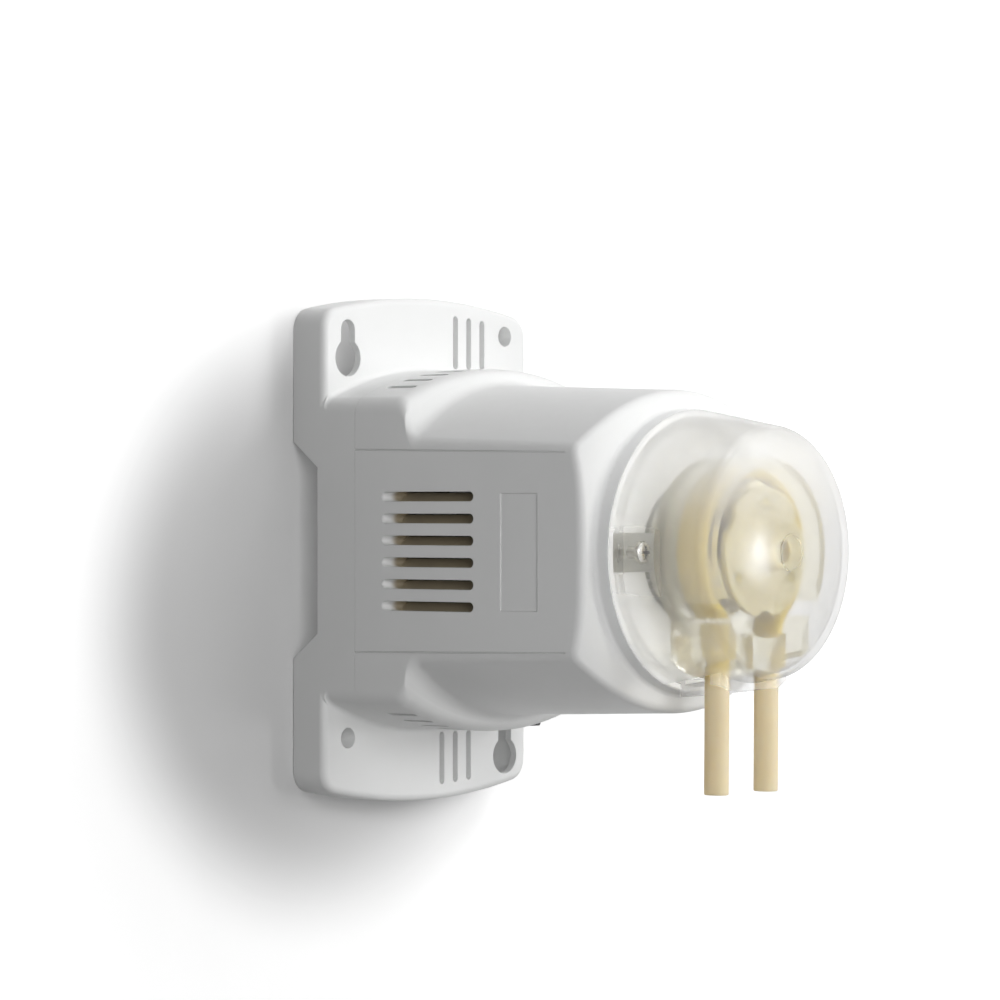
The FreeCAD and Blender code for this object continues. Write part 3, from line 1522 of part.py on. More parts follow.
nodes = {
    "rear_housing": rear_housing, "front_housing": front_housing, "housing_screws": housing_screws,
    "cable_grommet": cable_grommet, "terminal_block": terminal_block, "terminal_screws": terminal_screws,
    "motor_stack": motor_stack, "coil_bobbin": coil_bobbin, "motor_coil": motor_coil,
    "motor_rear_bracket": motor_rear_bracket, "motor_front_bracket": motor_front_bracket,
    "motor_bushes": motor_bushes, "motor_bolts": motor_bolts, "motor_spacers": motor_spacers,
    "motor_rotor": motor_rotor, "motor_shaft": motor_shaft, "motor_pinion": motor_pinion,
    "gearbox_rear_plate": gearbox_rear_plate, "gearbox_front_plate": gearbox_front_plate,
    "gearbox_spacers": gearbox_spacers, "gearbox_screws": gearbox_screws, "gear_axles": gear_axles,
    "gear_washers": gear_washers, "output_bushes": output_bushes, "first_gear": first_gear,
    "second_gear": second_gear, "output_gear": output_gear, "output_shaft": output_shaft,
    "retaining_clip": retaining_clip, "head_body": head_body, "head_screws": head_screws,
    "shaft_seal": shaft_seal, "pump_tube": pump_tube, "rotor_rear_disc": rotor_rear_disc,
    "rotor_front_disc": rotor_front_disc, "roller_pins": roller_pins, "pump_cover": pump_cover,
}

for name, make in nodes.items():
    save(name, make())
for number, place in enumerate(roller_places(), 1):
    save(f"roller_{number}", roller(place))
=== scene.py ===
import json
import math
import bpy
import numpy as np
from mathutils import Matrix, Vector


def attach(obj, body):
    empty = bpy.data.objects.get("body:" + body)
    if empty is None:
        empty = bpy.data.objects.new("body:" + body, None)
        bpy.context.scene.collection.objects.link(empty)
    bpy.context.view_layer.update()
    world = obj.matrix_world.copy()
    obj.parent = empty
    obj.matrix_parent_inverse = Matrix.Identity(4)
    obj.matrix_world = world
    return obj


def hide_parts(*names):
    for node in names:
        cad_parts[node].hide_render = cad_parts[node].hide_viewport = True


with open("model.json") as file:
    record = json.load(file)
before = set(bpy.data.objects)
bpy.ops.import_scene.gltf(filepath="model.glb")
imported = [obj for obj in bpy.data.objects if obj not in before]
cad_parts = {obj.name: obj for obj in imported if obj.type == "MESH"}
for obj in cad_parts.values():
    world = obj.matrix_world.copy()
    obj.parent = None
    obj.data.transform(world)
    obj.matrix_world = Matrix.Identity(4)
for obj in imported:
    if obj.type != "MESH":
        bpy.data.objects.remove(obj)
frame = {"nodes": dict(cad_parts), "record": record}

print("stage: frame loaded")
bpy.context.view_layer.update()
scene = bpy.context.scene
scene.view_settings.view_transform = "Standard"

# Angles in degrees, lengths in metres; the aim slides the camera in its own picture plane.
cameraSet = {"azimuth": -49.8, "elevation": -0.08, "distance": 1.202, "aimRight": 0.02808,
             "aimUp": 0.0135, "lens": 157.5, "farEnd": 50}


# Points out at a turn round the part, 0 in front of it, and a height over its middle, in radians.
def direction(turn, height):
    level = math.cos(height)
    return Vector((math.sin(turn) * level, -math.cos(turn) * level, math.sin(height)))


def makeCamera(c):
    turn, tilt = math.radians(c["azimuth"]), math.radians(c["elevation"])
    back = direction(turn, tilt)
    right = Vector((math.cos(turn), math.sin(turn), 0))
    up = back.cross(right)
    data = bpy.data.cameras.new("mainCamera")
    data.lens = c["lens"]
    data.clip_end = c["farEnd"]
    camera = bpy.data.objects.new("mainCamera", data)
    camera.location = right * c["aimRight"] + up * c["aimUp"] + back * c["distance"]
    camera.rotation_euler = back.to_track_quat("Z", "Y").to_euler()
    bpy.context.collection.objects.link(camera)
    scene.camera = camera


makeCamera(cameraSet)


# Small helpers for node trees: a node with its values set, and the usual patterns.
def newMaterial(name):
    material = bpy.data.materials.new(name)
    material.use_nodes = True
    tree = material.node_tree
    tree.nodes.clear()
    return material, tree


# Node settings keep their own names, and a socket's name is written with _ for each space.
def addNode(tree, kind, **values):
    node = tree.nodes.new("ShaderNode" + kind)
    for key, value in values.items():
        if hasattr(node, key):
            setattr(node, key, value)
        else:
            node.inputs[key.replace("_", " ")].default_value = value
    return node


def rgba(colour):
    return (*colour, 1.0)


def place(tree):
    return addNode(tree, "TexCoord").outputs["Object"]


def axes(tree):
    node = addNode(tree, "SeparateXYZ")
    tree.links.new(place(tree), node.inputs[0])
    return node.outputs


def noise(tree, scale, detail=2.0, roughness=0.5, stretch=None):
    node = addNode(tree, "TexNoise", Scale=scale, Detail=detail, Roughness=roughness)
    where = place(tree)
    if stretch:
        mapping = addNode(tree, "Mapping", Scale=stretch)
        tree.links.new(where, mapping.inputs["Vector"])
        where = mapping.outputs["Vector"]
    tree.links.new(where, node.inputs["Vector"])
    return node.outputs["Fac"]


def ramp(tree, source, stops):
    node = tree.nodes.new("ShaderNodeValToRGB")
    elements = node.color_ramp.elements
    while len(elements) < len(stops):
        elements.new(0.5)
    for element, (at, colour) in zip(elements, stops):
        element.position = at
        element.color = rgba(colour)
    tree.links.new(source, node.inputs[0])
    return node.outputs["Color"]


def mathNode(tree, operation, first, second=None, clamp=False):
    node = addNode(tree, "Math", operation=operation, use_clamp=clamp)
    for socket, value in zip(node.inputs, (first, second)):
        if isinstance(value, float):
            socket.default_value = value
        elif value is not None:
            tree.links.new(value, socket)
    return node.outputs[0]


def mixColour(tree, share, first, second):
    node = addNode(tree, "MixRGB")
    tree.links.new(share, node.inputs[0])
    tree.links.new(first, node.inputs[1])
    node.inputs[2].default_value = rgba(second)
    return node.outputs[0]


# A value from 0 to 1 carried over to low and high.
def spread(tree, source, low, high):
    node = addNode(tree, "MapRange", To_Min=low, To_Max=high)
    tree.links.new(source, node.inputs["Value"])
    return node.outputs["Result"]


# Goes from low to high while the source goes from start to end.
def change(tree, source, start, end, low=0.0, high=1.0, smooth=True):
    node = addNode(tree, "MapRange", interpolation_type="SMOOTHSTEP" if smooth else "LINEAR",
                   From_Min=start, From_Max=end, To_Min=low, To_Max=high)
    tree.links.new(source, node.inputs["Value"])
    return node.outputs["Result"]


def bump(tree, height, distance, strength, under=None):
    node = addNode(tree, "Bump", Strength=strength, Distance=distance)
    tree.links.new(height, node.inputs["Height"])
    if under:
        tree.links.new(under, node.inputs["Normal"])
    return node.outputs["Normal"]


def softEdge(tree, radius):
    return addNode(tree, "Bevel", samples=4, Radius=radius).outputs["Normal"]


# A shader whose colour, roughness and normal are linked; roughness wanders from less to more.
def surface(tree, tone, source, roughness, less, more, normal):
    shader = addNode(tree, "BsdfPrincipled")
    tree.links.new(tone, shader.inputs["Base Color"])
    rough = spread(tree, source, roughness - less, roughness + more)
    tree.links.new(rough, shader.inputs["Roughness"])
    tree.links.new(normal, shader.inputs["Normal"])
    return shader


def finish(tree, shader):
    output = addNode(tree, "OutputMaterial")
    tree.links.new(shader, output.inputs["Surface"])


def blendShaders(tree, share, first, second):
    node = addNode(tree, "MixShader")
    if isinstance(share, float):
        node.inputs[0].default_value = share
    else:
        tree.links.new(share, node.inputs[0])
    tree.links.new(first, node.inputs[1])
    tree.links.new(second, node.inputs[2])
    return node.outputs[0]


# 1 for a ray that comes from the camera, straight or by way of a mirroring or clear face.
def seenShare(tree, light):
    total = light.outputs["Is Camera Ray"]
    for kind in ("Is Glossy Ray", "Is Transmission Ray"):
        total = mathNode(tree, "ADD", total, light.outputs[kind], clamp=True)
    return total


# Opaque moulded plastic: a fine spark-eroded grain, a slow wave of the wall and some mottling.
mouldedSkin = {"mottle": 28, "patch": 160, "wave": 34, "waveDepth": 0.0004, "waveShare": 0.12,
               "spark": 2600, "sparkDepth": 0.00006, "specular": 0.45}
mouldedSet = {
    "whitePlastic": {"colour": (0.855, 0.86, 0.855), "shift": 0.02, "roughness": 0.42,
                     "grain": 0.10, "edge": 0.00035},
    "shellPlastic": {"colour": (0.855, 0.86, 0.855), "shift": 0.02, "roughness": 0.42,
                     "grain": 0.10, "edge": 0.00035,
                     "slatShade": {"colour": (0.44, 0.375, 0.265), "outer": 0.0403, "inner": 0.0386,
                              "middle": -0.0474, "half": 0.0178, "tall": 0.0175}},
    "terminalPlastic": {"colour": (0.62, 0.62, 0.58), "shift": 0.06, "roughness": 0.45,
                        "grain": 0.12, "edge": 0.0002},
    "bobbinPlastic": {"colour": (0.66, 0.63, 0.52), "shift": 0.08, "roughness": 0.4,
                      "grain": 0.10, "edge": 0.0002},
    "gearNylon": {"colour": (0.72, 0.70, 0.60), "shift": 0.08, "roughness": 0.38,
                  "grain": 0.08, "edge": 0.0001},
}


# Painted shade on the slats: a brown block on each side just inside the wall, darkening the insides
# of the vents.
def slatShadeShare(tree, d):
    where = axes(tree)
    inside = change(tree, mathNode(tree, "ABSOLUTE", where["X"]), d["outer"], d["inner"])
    along = mathNode(tree, "COMPARE", where["Y"], d["middle"])
    along.node.inputs[2].default_value = d["half"]
    up = mathNode(tree, "COMPARE", where["Z"], 0.0)
    up.node.inputs[2].default_value = d["tall"]
    return mathNode(tree, "MULTIPLY", inside, mathNode(tree, "MULTIPLY", along, up))


def mouldedPlastic(name, colour, shift, roughness, grain, edge, slatShade=None):
    material, tree = newMaterial(name)
    skin = mouldedSkin
    darker = tuple(c * (1 - shift) for c in colour)
    tone = ramp(tree, noise(tree, skin["mottle"], 3), [(0.35, darker), (0.65, colour)])
    # painted shade inside the side vents, on the slats and the deep ends of the scoops
    if slatShade:
        tone = mixColour(tree, slatShadeShare(tree, slatShade), tone, slatShade["colour"])
    slow = bump(tree, noise(tree, skin["wave"], 1), skin["waveDepth"], skin["waveShare"],
                softEdge(tree, edge))
    fine = bump(tree, noise(tree, skin["spark"], 3, 0.6), skin["sparkDepth"], grain, slow)
    shader = surface(tree, tone, noise(tree, skin["patch"], 4), roughness, 0.05, 0.06, fine)
    shader.inputs["Specular IOR Level"].default_value = skin["specular"]
    finish(tree, shader.outputs[0])
    return material


# Both clear plastics ripple slowly, and their milk is thinner in some places than in others.
clearSkin = {"ripple": 60, "rippleDepth": 0.0006, "cloud": 40, "thin": 0.85, "dense": 1.15}
milkSet = {"back": 0.5, "index": 1.02}


def ripples(tree, strength):
    return bump(tree, noise(tree, clearSkin["ripple"], 2), clearSkin["rippleDepth"], strength)


# Milk in clear plastic: part glows where lamps reach it, part passes on what is behind, blurred.
def milk(tree, colour, forward, blur):
    scatter = addNode(tree, "BsdfDiffuse", Color=rgba(colour))
    through = addNode(tree, "BsdfTranslucent", Color=rgba(colour))
    onward = addNode(tree, "BsdfRefraction", Color=rgba(colour), Roughness=blur,
                     IOR=milkSet["index"])
    glow = blendShaders(tree, milkSet["back"], scatter.outputs[0], through.outputs[0])
    return blendShaders(tree, forward, glow, onward.outputs[0])


def lampsPass(tree, body, shade):
    light = addNode(tree, "LightPath")
    free = addNode(tree, "BsdfTransparent", Color=rgba((shade, shade, shade)))
    return blendShaders(tree, light.outputs["Is Shadow Ray"], body, free.outputs[0])


# The cover is a thin clear shell, so light goes straight on. The veil is its milk, thin round the
# side, thicker in the crown and thickest where the wall is seen edge on. The haze grows with
# height. The mirror values give the share mirrored straight on and edge on, and how late it rises.
shellSet = {"tint": 0.97, "shade": 0.89, "waves": 0.06,
            "veil": {"side": 0.13, "crown": 0.55, "edge": 0.85, "crownFrom": 0.117,
                     "crownTo": 0.127, "colour": (0.93, 0.93, 0.93), "forward": 0.92, "blur": 0.7},
            "haze": {"low": 0.04, "high": 0.42, "lowZ": 0.003, "highZ": 0.026,
                     "colour": (0.89, 0.89, 0.885)},
            "gloss": {"roughness": 0.19, "patch": 90, "least": 0.75, "most": 1.3},
            "mirror": {"straight": 0.05, "edge": 0.75, "power": 5.0}}


def clearShell(name, tint, shade, waves, veil, haze, gloss, mirror):
    material, tree = newMaterial(name)
    straight = addNode(tree, "BsdfTransparent", Color=rgba((tint, tint, tint)))
    shine = addNode(tree, "BsdfGlossy")
    rough = spread(tree, noise(tree, gloss["patch"], 3), gloss["roughness"] * gloss["least"],
                   gloss["roughness"] * gloss["most"])
    tree.links.new(rough, shine.inputs["Roughness"])
    tree.links.new(ripples(tree, waves), shine.inputs["Normal"])
    facing = addNode(tree, "LayerWeight", Blend=0.5).outputs["Facing"]
    share = spread(tree, mathNode(tree, "POWER", facing, mirror["power"]), mirror["straight"],
                   mirror["edge"])
    where = axes(tree)
    crown = change(tree, where["Y"], -veil["crownFrom"], -veil["crownTo"], veil["side"],
                   veil["crown"])
    thick = addNode(tree, "MapRange", To_Max=veil["edge"])
    tree.links.new(facing, thick.inputs["Value"])
    tree.links.new(crown, thick.inputs["To Min"])
    cloud = spread(tree, noise(tree, clearSkin["cloud"], 3), clearSkin["thin"], clearSkin["dense"])
    uneven = mathNode(tree, "MULTIPLY", thick.outputs["Result"], cloud)
    wall = blendShaders(tree, uneven, straight.outputs[0],
                        milk(tree, veil["colour"], veil["forward"], veil["blur"]))
    upper = change(tree, where["Z"], haze["lowZ"], haze["highZ"], haze["low"], haze["high"])
    wall = blendShaders(tree, upper, wall, milk(tree, haze["colour"], 0.0, 0.0))
    finish(tree, lampsPass(tree, blendShaders(tree, share, wall, shine.outputs[0]), shade))
    return material


# The head's body is thick clear plastic, so it bends what is seen through it.
clearSet = {"tint": (0.97, 0.97, 0.94), "veil": 0.24, "veilColour": (0.88, 0.84, 0.68),
            "forward": 0.5, "milkBlur": 0.5, "blur": 0.02, "index": 1.25, "waves": 0.08,
            "shade": 0.95}


def clearPlastic(name, tint, veil, veilColour, forward, milkBlur, blur, index, waves, shade):
    material, tree = newMaterial(name)
    glass = addNode(tree, "BsdfPrincipled", Roughness=blur, IOR=index)
    glass.inputs["Base Color"].default_value = rgba(tint)
    glass.inputs["Transmission Weight"].default_value = 1.0
    tree.links.new(ripples(tree, waves), glass.inputs["Normal"])
    uneven = spread(tree, noise(tree, clearSkin["cloud"], 3), veil * clearSkin["thin"],
                    veil * clearSkin["dense"])
    body = blendShaders(tree, uneven, glass.outputs[0], milk(tree, veilColour, forward, milkBlur))
    finish(tree, lampsPass(tree, body, shade))
    return material


# Cream parts of the head: light goes a little way in, so thin places glow.
creamSkin = {"mottle": 75, "lightSpread": (1.0, 0.85, 0.50), "patch": 300, "grain": 1500,
             "grainDepth": 0.0001}
creamSet = {
    "siliconeTube": {"colour": (0.93, 0.86, 0.68), "deep": (0.90, 0.81, 0.60), "depth": 0.0015,
                     "weight": 0.4, "through": 0.36, "roughness": 0.42, "lines": (1, 1, 0.05),
                     "grain": 0.16,
                     "trackShade": {"colour": (0.60, 0.455, 0.045), "low": -0.036, "high": -0.026}},
    "rotorPlastic": {"colour": (0.50, 0.445, 0.27), "deep": (0.44, 0.385, 0.205), "depth": 0.0045,
                     "weight": 0.85, "through": 0.25, "roughness": 0.26, "lines": (1, 1, 1),
                     "grain": 0.05},
    "rollerPlastic": {"colour": (0.95, 0.88, 0.60), "deep": (0.90, 0.81, 0.50), "depth": 0.003,
                      "weight": 0.5, "through": 0.5, "roughness": 0.30, "lines": (1, 0.06, 1),
                      "grain": 0.06},
}


def creamPlastic(name, colour, deep, depth, weight, through, roughness, lines, grain, trackShade=None):
    material, tree = newMaterial(name)
    skin = creamSkin
    tone = ramp(tree, noise(tree, skin["mottle"], 3), [(0.3, deep), (0.62, colour)])
    if trackShade:  # painted shade: the length round the track is darker and more saturated, for the shade inside the head and the light's long path through the silicone
        share = change(tree, axes(tree)["Z"], trackShade["low"], trackShade["high"])
        tone = mixColour(tree, share, tone, trackShade["colour"])
    fine = bump(tree, noise(tree, skin["grain"], 3, 0.6, lines), skin["grainDepth"], grain)
    shader = surface(tree, tone, noise(tree, skin["patch"], 3), roughness, 0.06, 0.08, fine)
    shader.inputs["Subsurface Weight"].default_value = weight
    shader.inputs["Subsurface Scale"].default_value = depth
    shader.inputs["Subsurface Radius"].default_value = skin["lightSpread"]
    passing = addNode(tree, "BsdfTranslucent")
    tree.links.new(tone, passing.inputs["Color"])
    finish(tree, blendShaders(tree, through, shader.outputs[0], passing.outputs[0]))
    return material


# Painted shade in a screw's cross and round the side of its head, by the distance to the screw's
# axis.
def screwPaintedShade(tree, g):
    where = axes(tree)
    across = mathNode(tree, "SUBTRACT", mathNode(tree, "ABSOLUTE", where["X"]), g["apart"])
    squares = mathNode(tree, "ADD", mathNode(tree, "MULTIPLY", across, across),
                       mathNode(tree, "MULTIPLY", where["Z"], where["Z"]))
    away = mathNode(tree, "SQRT", squares)
    inside = change(tree, away, g["cross"], g["cross"] * g["crossFade"], smooth=False)
    sunk = change(tree, where["Y"], -g["under"] - g["underFade"], -g["under"] + g["underFade"],
                  smooth=False)
    outside = change(tree, away, g["side"], g["side"] * g["sideFade"], 0.0, g["sideShare"],
                     smooth=False)
    return mathNode(tree, "MAXIMUM", mathNode(tree, "MULTIPLY", inside, sunk), outside, clamp=True)


# Metals: a base tone broken up by mottling, with fine scratches drawn out along one way.
metalSkin = {"scratch": 2200, "scratchDepth": 0.00004, "scratchShare": 0.25, "edge": 0.0001}
metalSet = {
    "screwZinc": {"colour": (0.66, 0.665, 0.64), "dark": (0.46, 0.46, 0.43), "roughness": 0.30,
                  "lines": (1, 1, 1), "mottle": 420},
    "screwSteel": {"colour": (0.74, 0.735, 0.71), "dark": (0.60, 0.59, 0.56), "roughness": 0.26,
                   "lines": (1, 1, 1), "mottle": 700,
                   "screwShade": {"colour": (0.07, 0.065, 0.045), "apart": 0.026, "cross": 0.0017,
                             "crossFade": 0.95, "under": 0.10718, "underFade": 0.00008,
                             "side": 0.00262, "sideFade": 1.04, "sideShare": 0.7}},
    "pinSteel": {"colour": (0.33, 0.27, 0.09), "dark": (0.20, 0.16, 0.05), "roughness": 0.42,
                 "lines": (1, 1, 1), "mottle": 300},
    "shaftSteel": {"colour": (0.62, 0.62, 0.63), "dark": (0.45, 0.45, 0.46), "roughness": 0.25,
                   "lines": (1, 0.04, 1), "mottle": 300},
    "zincPlate": {"colour": (0.60, 0.61, 0.60), "dark": (0.44, 0.45, 0.46), "roughness": 0.36,
                  "lines": (0.05, 1, 1), "mottle": 140},
    "rotorMetal": {"colour": (0.56, 0.56, 0.57), "dark": (0.38, 0.38, 0.40), "roughness": 0.34,
                   "lines": (1, 1, 0.05), "mottle": 180},
    "machinedBrass": {"colour": (0.74, 0.56, 0.25), "dark": (0.52, 0.38, 0.16), "roughness": 0.27,
                      "lines": (1, 0.05, 1), "mottle": 260},
    "sinteredBronze": {"colour": (0.50, 0.33, 0.17), "dark": (0.30, 0.19, 0.10), "roughness": 0.48,
                       "lines": (1, 1, 1), "mottle": 700},
}


def metal(name, colour, dark, roughness, lines, mottle, screwShade=None):
    material, tree = newMaterial(name)
    skin = metalSkin
    tone = ramp(tree, noise(tree, mottle, 4), [(0.32, dark), (0.6, colour)])
    # painted shade: near-black in the screw's cross and round the side of its head
    if screwShade:
        tone = mixColour(tree, screwPaintedShade(tree, screwShade), tone, screwShade["colour"])
    scratches = noise(tree, skin["scratch"], 3, 0.6, lines)
    fine = bump(tree, scratches, skin["scratchDepth"], skin["scratchShare"],
                softEdge(tree, skin["edge"]))
    shader = surface(tree, tone, scratches, roughness, 0.1, 0.14, fine)
    shader.inputs["Metallic"].default_value = 1.0
    finish(tree, shader.outputs[0])
    return material


waveTurn = 20  # a wave texture turns through this many radians for each unit of its scale


def bands(tree, direction, pitch, wobble):
    node = addNode(tree, "TexWave", wave_type="BANDS", bands_direction=direction,
                   Scale=math.tau / pitch / waveTurn, Distortion=wobble)
    tree.links.new(place(tree), node.inputs["Vector"])
    return node.outputs["Fac"]


# Sheets of the motor core: one dark line every half millimetre of its length.
laminationSet = {"steel": (0.30, 0.30, 0.31), "seam": (0.10, 0.09, 0.08), "pitch": 0.0005,
                 "wobble": 0.4, "seamDepth": 0.00005, "metallic": 0.85, "roughness": 0.42}


def laminatedCore(name, steel, seam, pitch, wobble, seamDepth, metallic, roughness):
    material, tree = newMaterial(name)
    sheets = bands(tree, "Y", pitch, wobble)
    tone = ramp(tree, sheets, [(0.12, seam), (0.4, steel)])
    shader = surface(tree, tone, noise(tree, 500, 3), roughness, 0.1, 0.15,
                     bump(tree, sheets, seamDepth, 0.5))
    shader.inputs["Metallic"].default_value = metallic
    finish(tree, shader.outputs[0])
    return material


# Varnished tape over the winding: turns of wire show as ridges round the leg.
tapeSet = {"tape": (0.62, 0.40, 0.07), "edge": (0.34, 0.19, 0.03), "pitch": 0.0024,
           "wobble": 0.8, "ridge": 0.0001, "varnish": 0.5, "roughness": 0.24}


def coilTape(name, tape, edge, pitch, wobble, ridge, varnish, roughness):
    material, tree = newMaterial(name)
    turns = bands(tree, "Z", pitch, wobble)
    tone = ramp(tree, turns, [(0.1, edge), (0.5, tape)])
    shader = surface(tree, tone, noise(tree, 300, 3), roughness, 0.08, 0.14,
                     bump(tree, turns, ridge, 0.5))
    shader.inputs["Coat Weight"].default_value = varnish
    finish(tree, shader.outputs[0])
    return material


# Black rubber, dusty in patches.
rubberSet = {"colour": (0.035, 0.035, 0.036), "dusty": (0.07, 0.07, 0.068), "patch": 260,
             "grain": 1800, "grainDepth": 0.00008, "edge": 0.0002, "roughness": 0.62}


def rubber(name, colour, dusty, patch, grain, grainDepth, edge, roughness):
    material, tree = newMaterial(name)
    tone = ramp(tree, noise(tree, patch, 4), [(0.45, colour), (0.7, dusty)])
    fine = bump(tree, noise(tree, grain, 3), grainDepth, 0.3, softEdge(tree, edge))
    shader = surface(tree, tone, noise(tree, 500, 3), roughness, 0.1, 0.12, fine)
    finish(tree, shader.outputs[0])
    return material


finishes = {name: mouldedPlastic(name, **values) for name, values in mouldedSet.items()}
finishes["clearCover"] = clearShell("clearCover", **shellSet)
finishes["clearHead"] = clearPlastic("clearHead", **clearSet)
finishes.update({name: creamPlastic(name, **values) for name, values in creamSet.items()})
finishes.update({name: metal(name, **values) for name, values in metalSet.items()})
finishes["laminatedCore"] = laminatedCore("laminatedCore", **laminationSet)
finishes["coilTape"] = coilTape("coilTape", **tapeSet)
finishes["blackRubber"] = rubber("blackRubber", **rubberSet)
print("stage: materials made")

# Each node's finish, its slot in the record, and the piece drawn for it where it is smoothed.
nodeFinish = {
    "rear_housing": ("whitePlastic", "white_plastic", "rearHousingShell"),
    "front_housing": ("shellPlastic", "white_plastic", "frontHousingShell"),
    "housing_screws": ("screwZinc", "zinc_screw", "housingScrewSet"),
    "cable_grommet": ("blackRubber", "black_rubber", "cableGrommetRing"),
    "terminal_block": ("terminalPlastic", "terminal_plastic", None),
    "terminal_screws": ("screwZinc", "zinc_screw", None),
    "motor_stack": ("laminatedCore", "lamination", None),
    "coil_bobbin": ("bobbinPlastic", "bobbin_plastic", None),
    "motor_coil": ("coilTape", "coil_tape", None),
    "motor_rear_bracket": ("zincPlate", "zinc_plate", None),
    "motor_front_bracket": ("zincPlate", "zinc_plate", None),
    "motor_bushes": ("sinteredBronze", "bronze", None),
    "motor_bolts": ("screwZinc", "zinc_screw", None),
    "motor_spacers": ("zincPlate", "zinc_plate", None),
    "motor_rotor": ("rotorMetal", "rotor_metal", None),
    "motor_shaft": ("shaftSteel", "shaft_steel", None),
    "motor_pinion": ("machinedBrass", "brass", None),
    "gearbox_rear_plate": ("zincPlate", "zinc_plate", None),
    "gearbox_front_plate": ("zincPlate", "zinc_plate", None),
    "gearbox_spacers": ("zincPlate", "zinc_plate", None),
    "gearbox_screws": ("screwZinc", "zinc_screw", None),
    "gear_axles": ("shaftSteel", "shaft_steel", None),
    "gear_washers": ("bobbinPlastic", "bobbin_plastic", None),
    "output_bushes": ("sinteredBronze", "bronze", "outputBushPair"),
    "first_gear": ("gearNylon", "gear_nylon", None),
    "second_gear": ("gearNylon", "gear_nylon", None),
    "output_gear": ("machinedBrass", "brass", None),
    "output_shaft": ("shaftSteel", "shaft_steel", "outputShaftBar"),
    "retaining_clip": ("shaftSteel", "shaft_steel", None),
    "head_body": ("clearHead", "clear_head", "headBodyMoulding"),
    "head_screws": ("screwSteel", "steel_screw", "headScrewPair"),
    "shaft_seal": ("blackRubber", "black_rubber", "shaftSealRing"),
    "rotor_rear_disc": ("rotorPlastic", "rotor_plastic", "rotorRearPlate"),
    "rotor_front_disc": ("rotorPlastic", "rotor_plastic", "rotorFrontPlate"),
    "roller_pins": ("pinSteel", "shaft_steel", "rollerPinSet"),
    "pump_cover": ("clearCover", "clear_cover", "pumpCoverShell"),
    "roller_1": ("rollerPlastic", "roller_plastic", "rollerOne"),
    "roller_2": ("rollerPlastic", "roller_plastic", "rollerTwo"),
    "roller_3": ("rollerPlastic", "roller_plastic", "rollerThree"),
}
smoothSet = {"weld": 2e-6, "angle": 32.0}
bodies = frame["record"]["behaviour"]["bodies"]
bodyOf = {node: body for body, nodes in bodies.items() for node in nodes}


def paint(piece, finishName):
    piece.data.materials.clear()
    piece.data.materials.append(finishes[finishName])


# Corners closer than the weld distance become one: each is rounded to a grid of that size.
def welded(mesh, weld):
    points = np.empty(len(mesh.vertices) * 3)
    mesh.vertices.foreach_get("co", points)
    points = points.reshape(-1, 3)
    corners = np.empty(len(mesh.loops), dtype=np.int64)
    mesh.loops.foreach_get("vertex_index", corners)
    cells = np.round(points / weld).astype(np.int64)
    _, first, back = np.unique(cells, axis=0, return_index=True, return_inverse=True)
    faces = back.reshape(-1)[corners].reshape(-1, 3)
    whole = (faces != np.roll(faces, 1, axis=1)).all(axis=1)
    joined = bpy.data.meshes.new(mesh.name + "Welded")
    joined.from_pydata(points[first].tolist(), [], faces[whole].tolist())
    return joined


def smoothCopy(node, name, weld, angle):
    source = frame["nodes"][node]
    mesh = welded(source.data, weld)
    mesh.shade_smooth()
    mesh.set_sharp_from_angle(angle=math.radians(angle))
    piece = bpy.data.objects.new(name, mesh)
    bpy.context.collection.objects.link(piece)
    even = piece.modifiers.new("evenNormals", "WEIGHTED_NORMAL")
    even.keep_sharp = True
    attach(piece, bodyOf[node])
    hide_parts(node)
    return piece


for node, (finishName, slotName, pieceName) in nodeFinish.items():
    if pieceName:
        piece = smoothCopy(node, pieceName, **smoothSet)
    else:
        piece = frame["nodes"][node]
    paint(piece, finishName)
print("stage: CAD nodes dressed")

# The tube: pressed flat round the track and through its two bends, round in the legs below.
tubeSet = {"trackRadius": 0.02035, "pitch": 0.0105, "bendX": 0.0205, "bendZ": -0.02238,
           "bendRadius": 0.010, "depth": 0.1182, "roundZ": -0.0269, "endZ": -0.062,
           "flatWidth": 0.009, "flatThick": 0.0032, "radius": 0.003175, "boreRadius": 0.001575,
           "flatBoreWidth": 0.0063, "flatBore": 0.0005, "flatSpread": 2.2, "lip": 0.00035,
           "bow": 0.00025, "around": 48,
           "steps": {"track": 120, "bend": 16, "change": 12, "leg": 40, "lip": 4}}


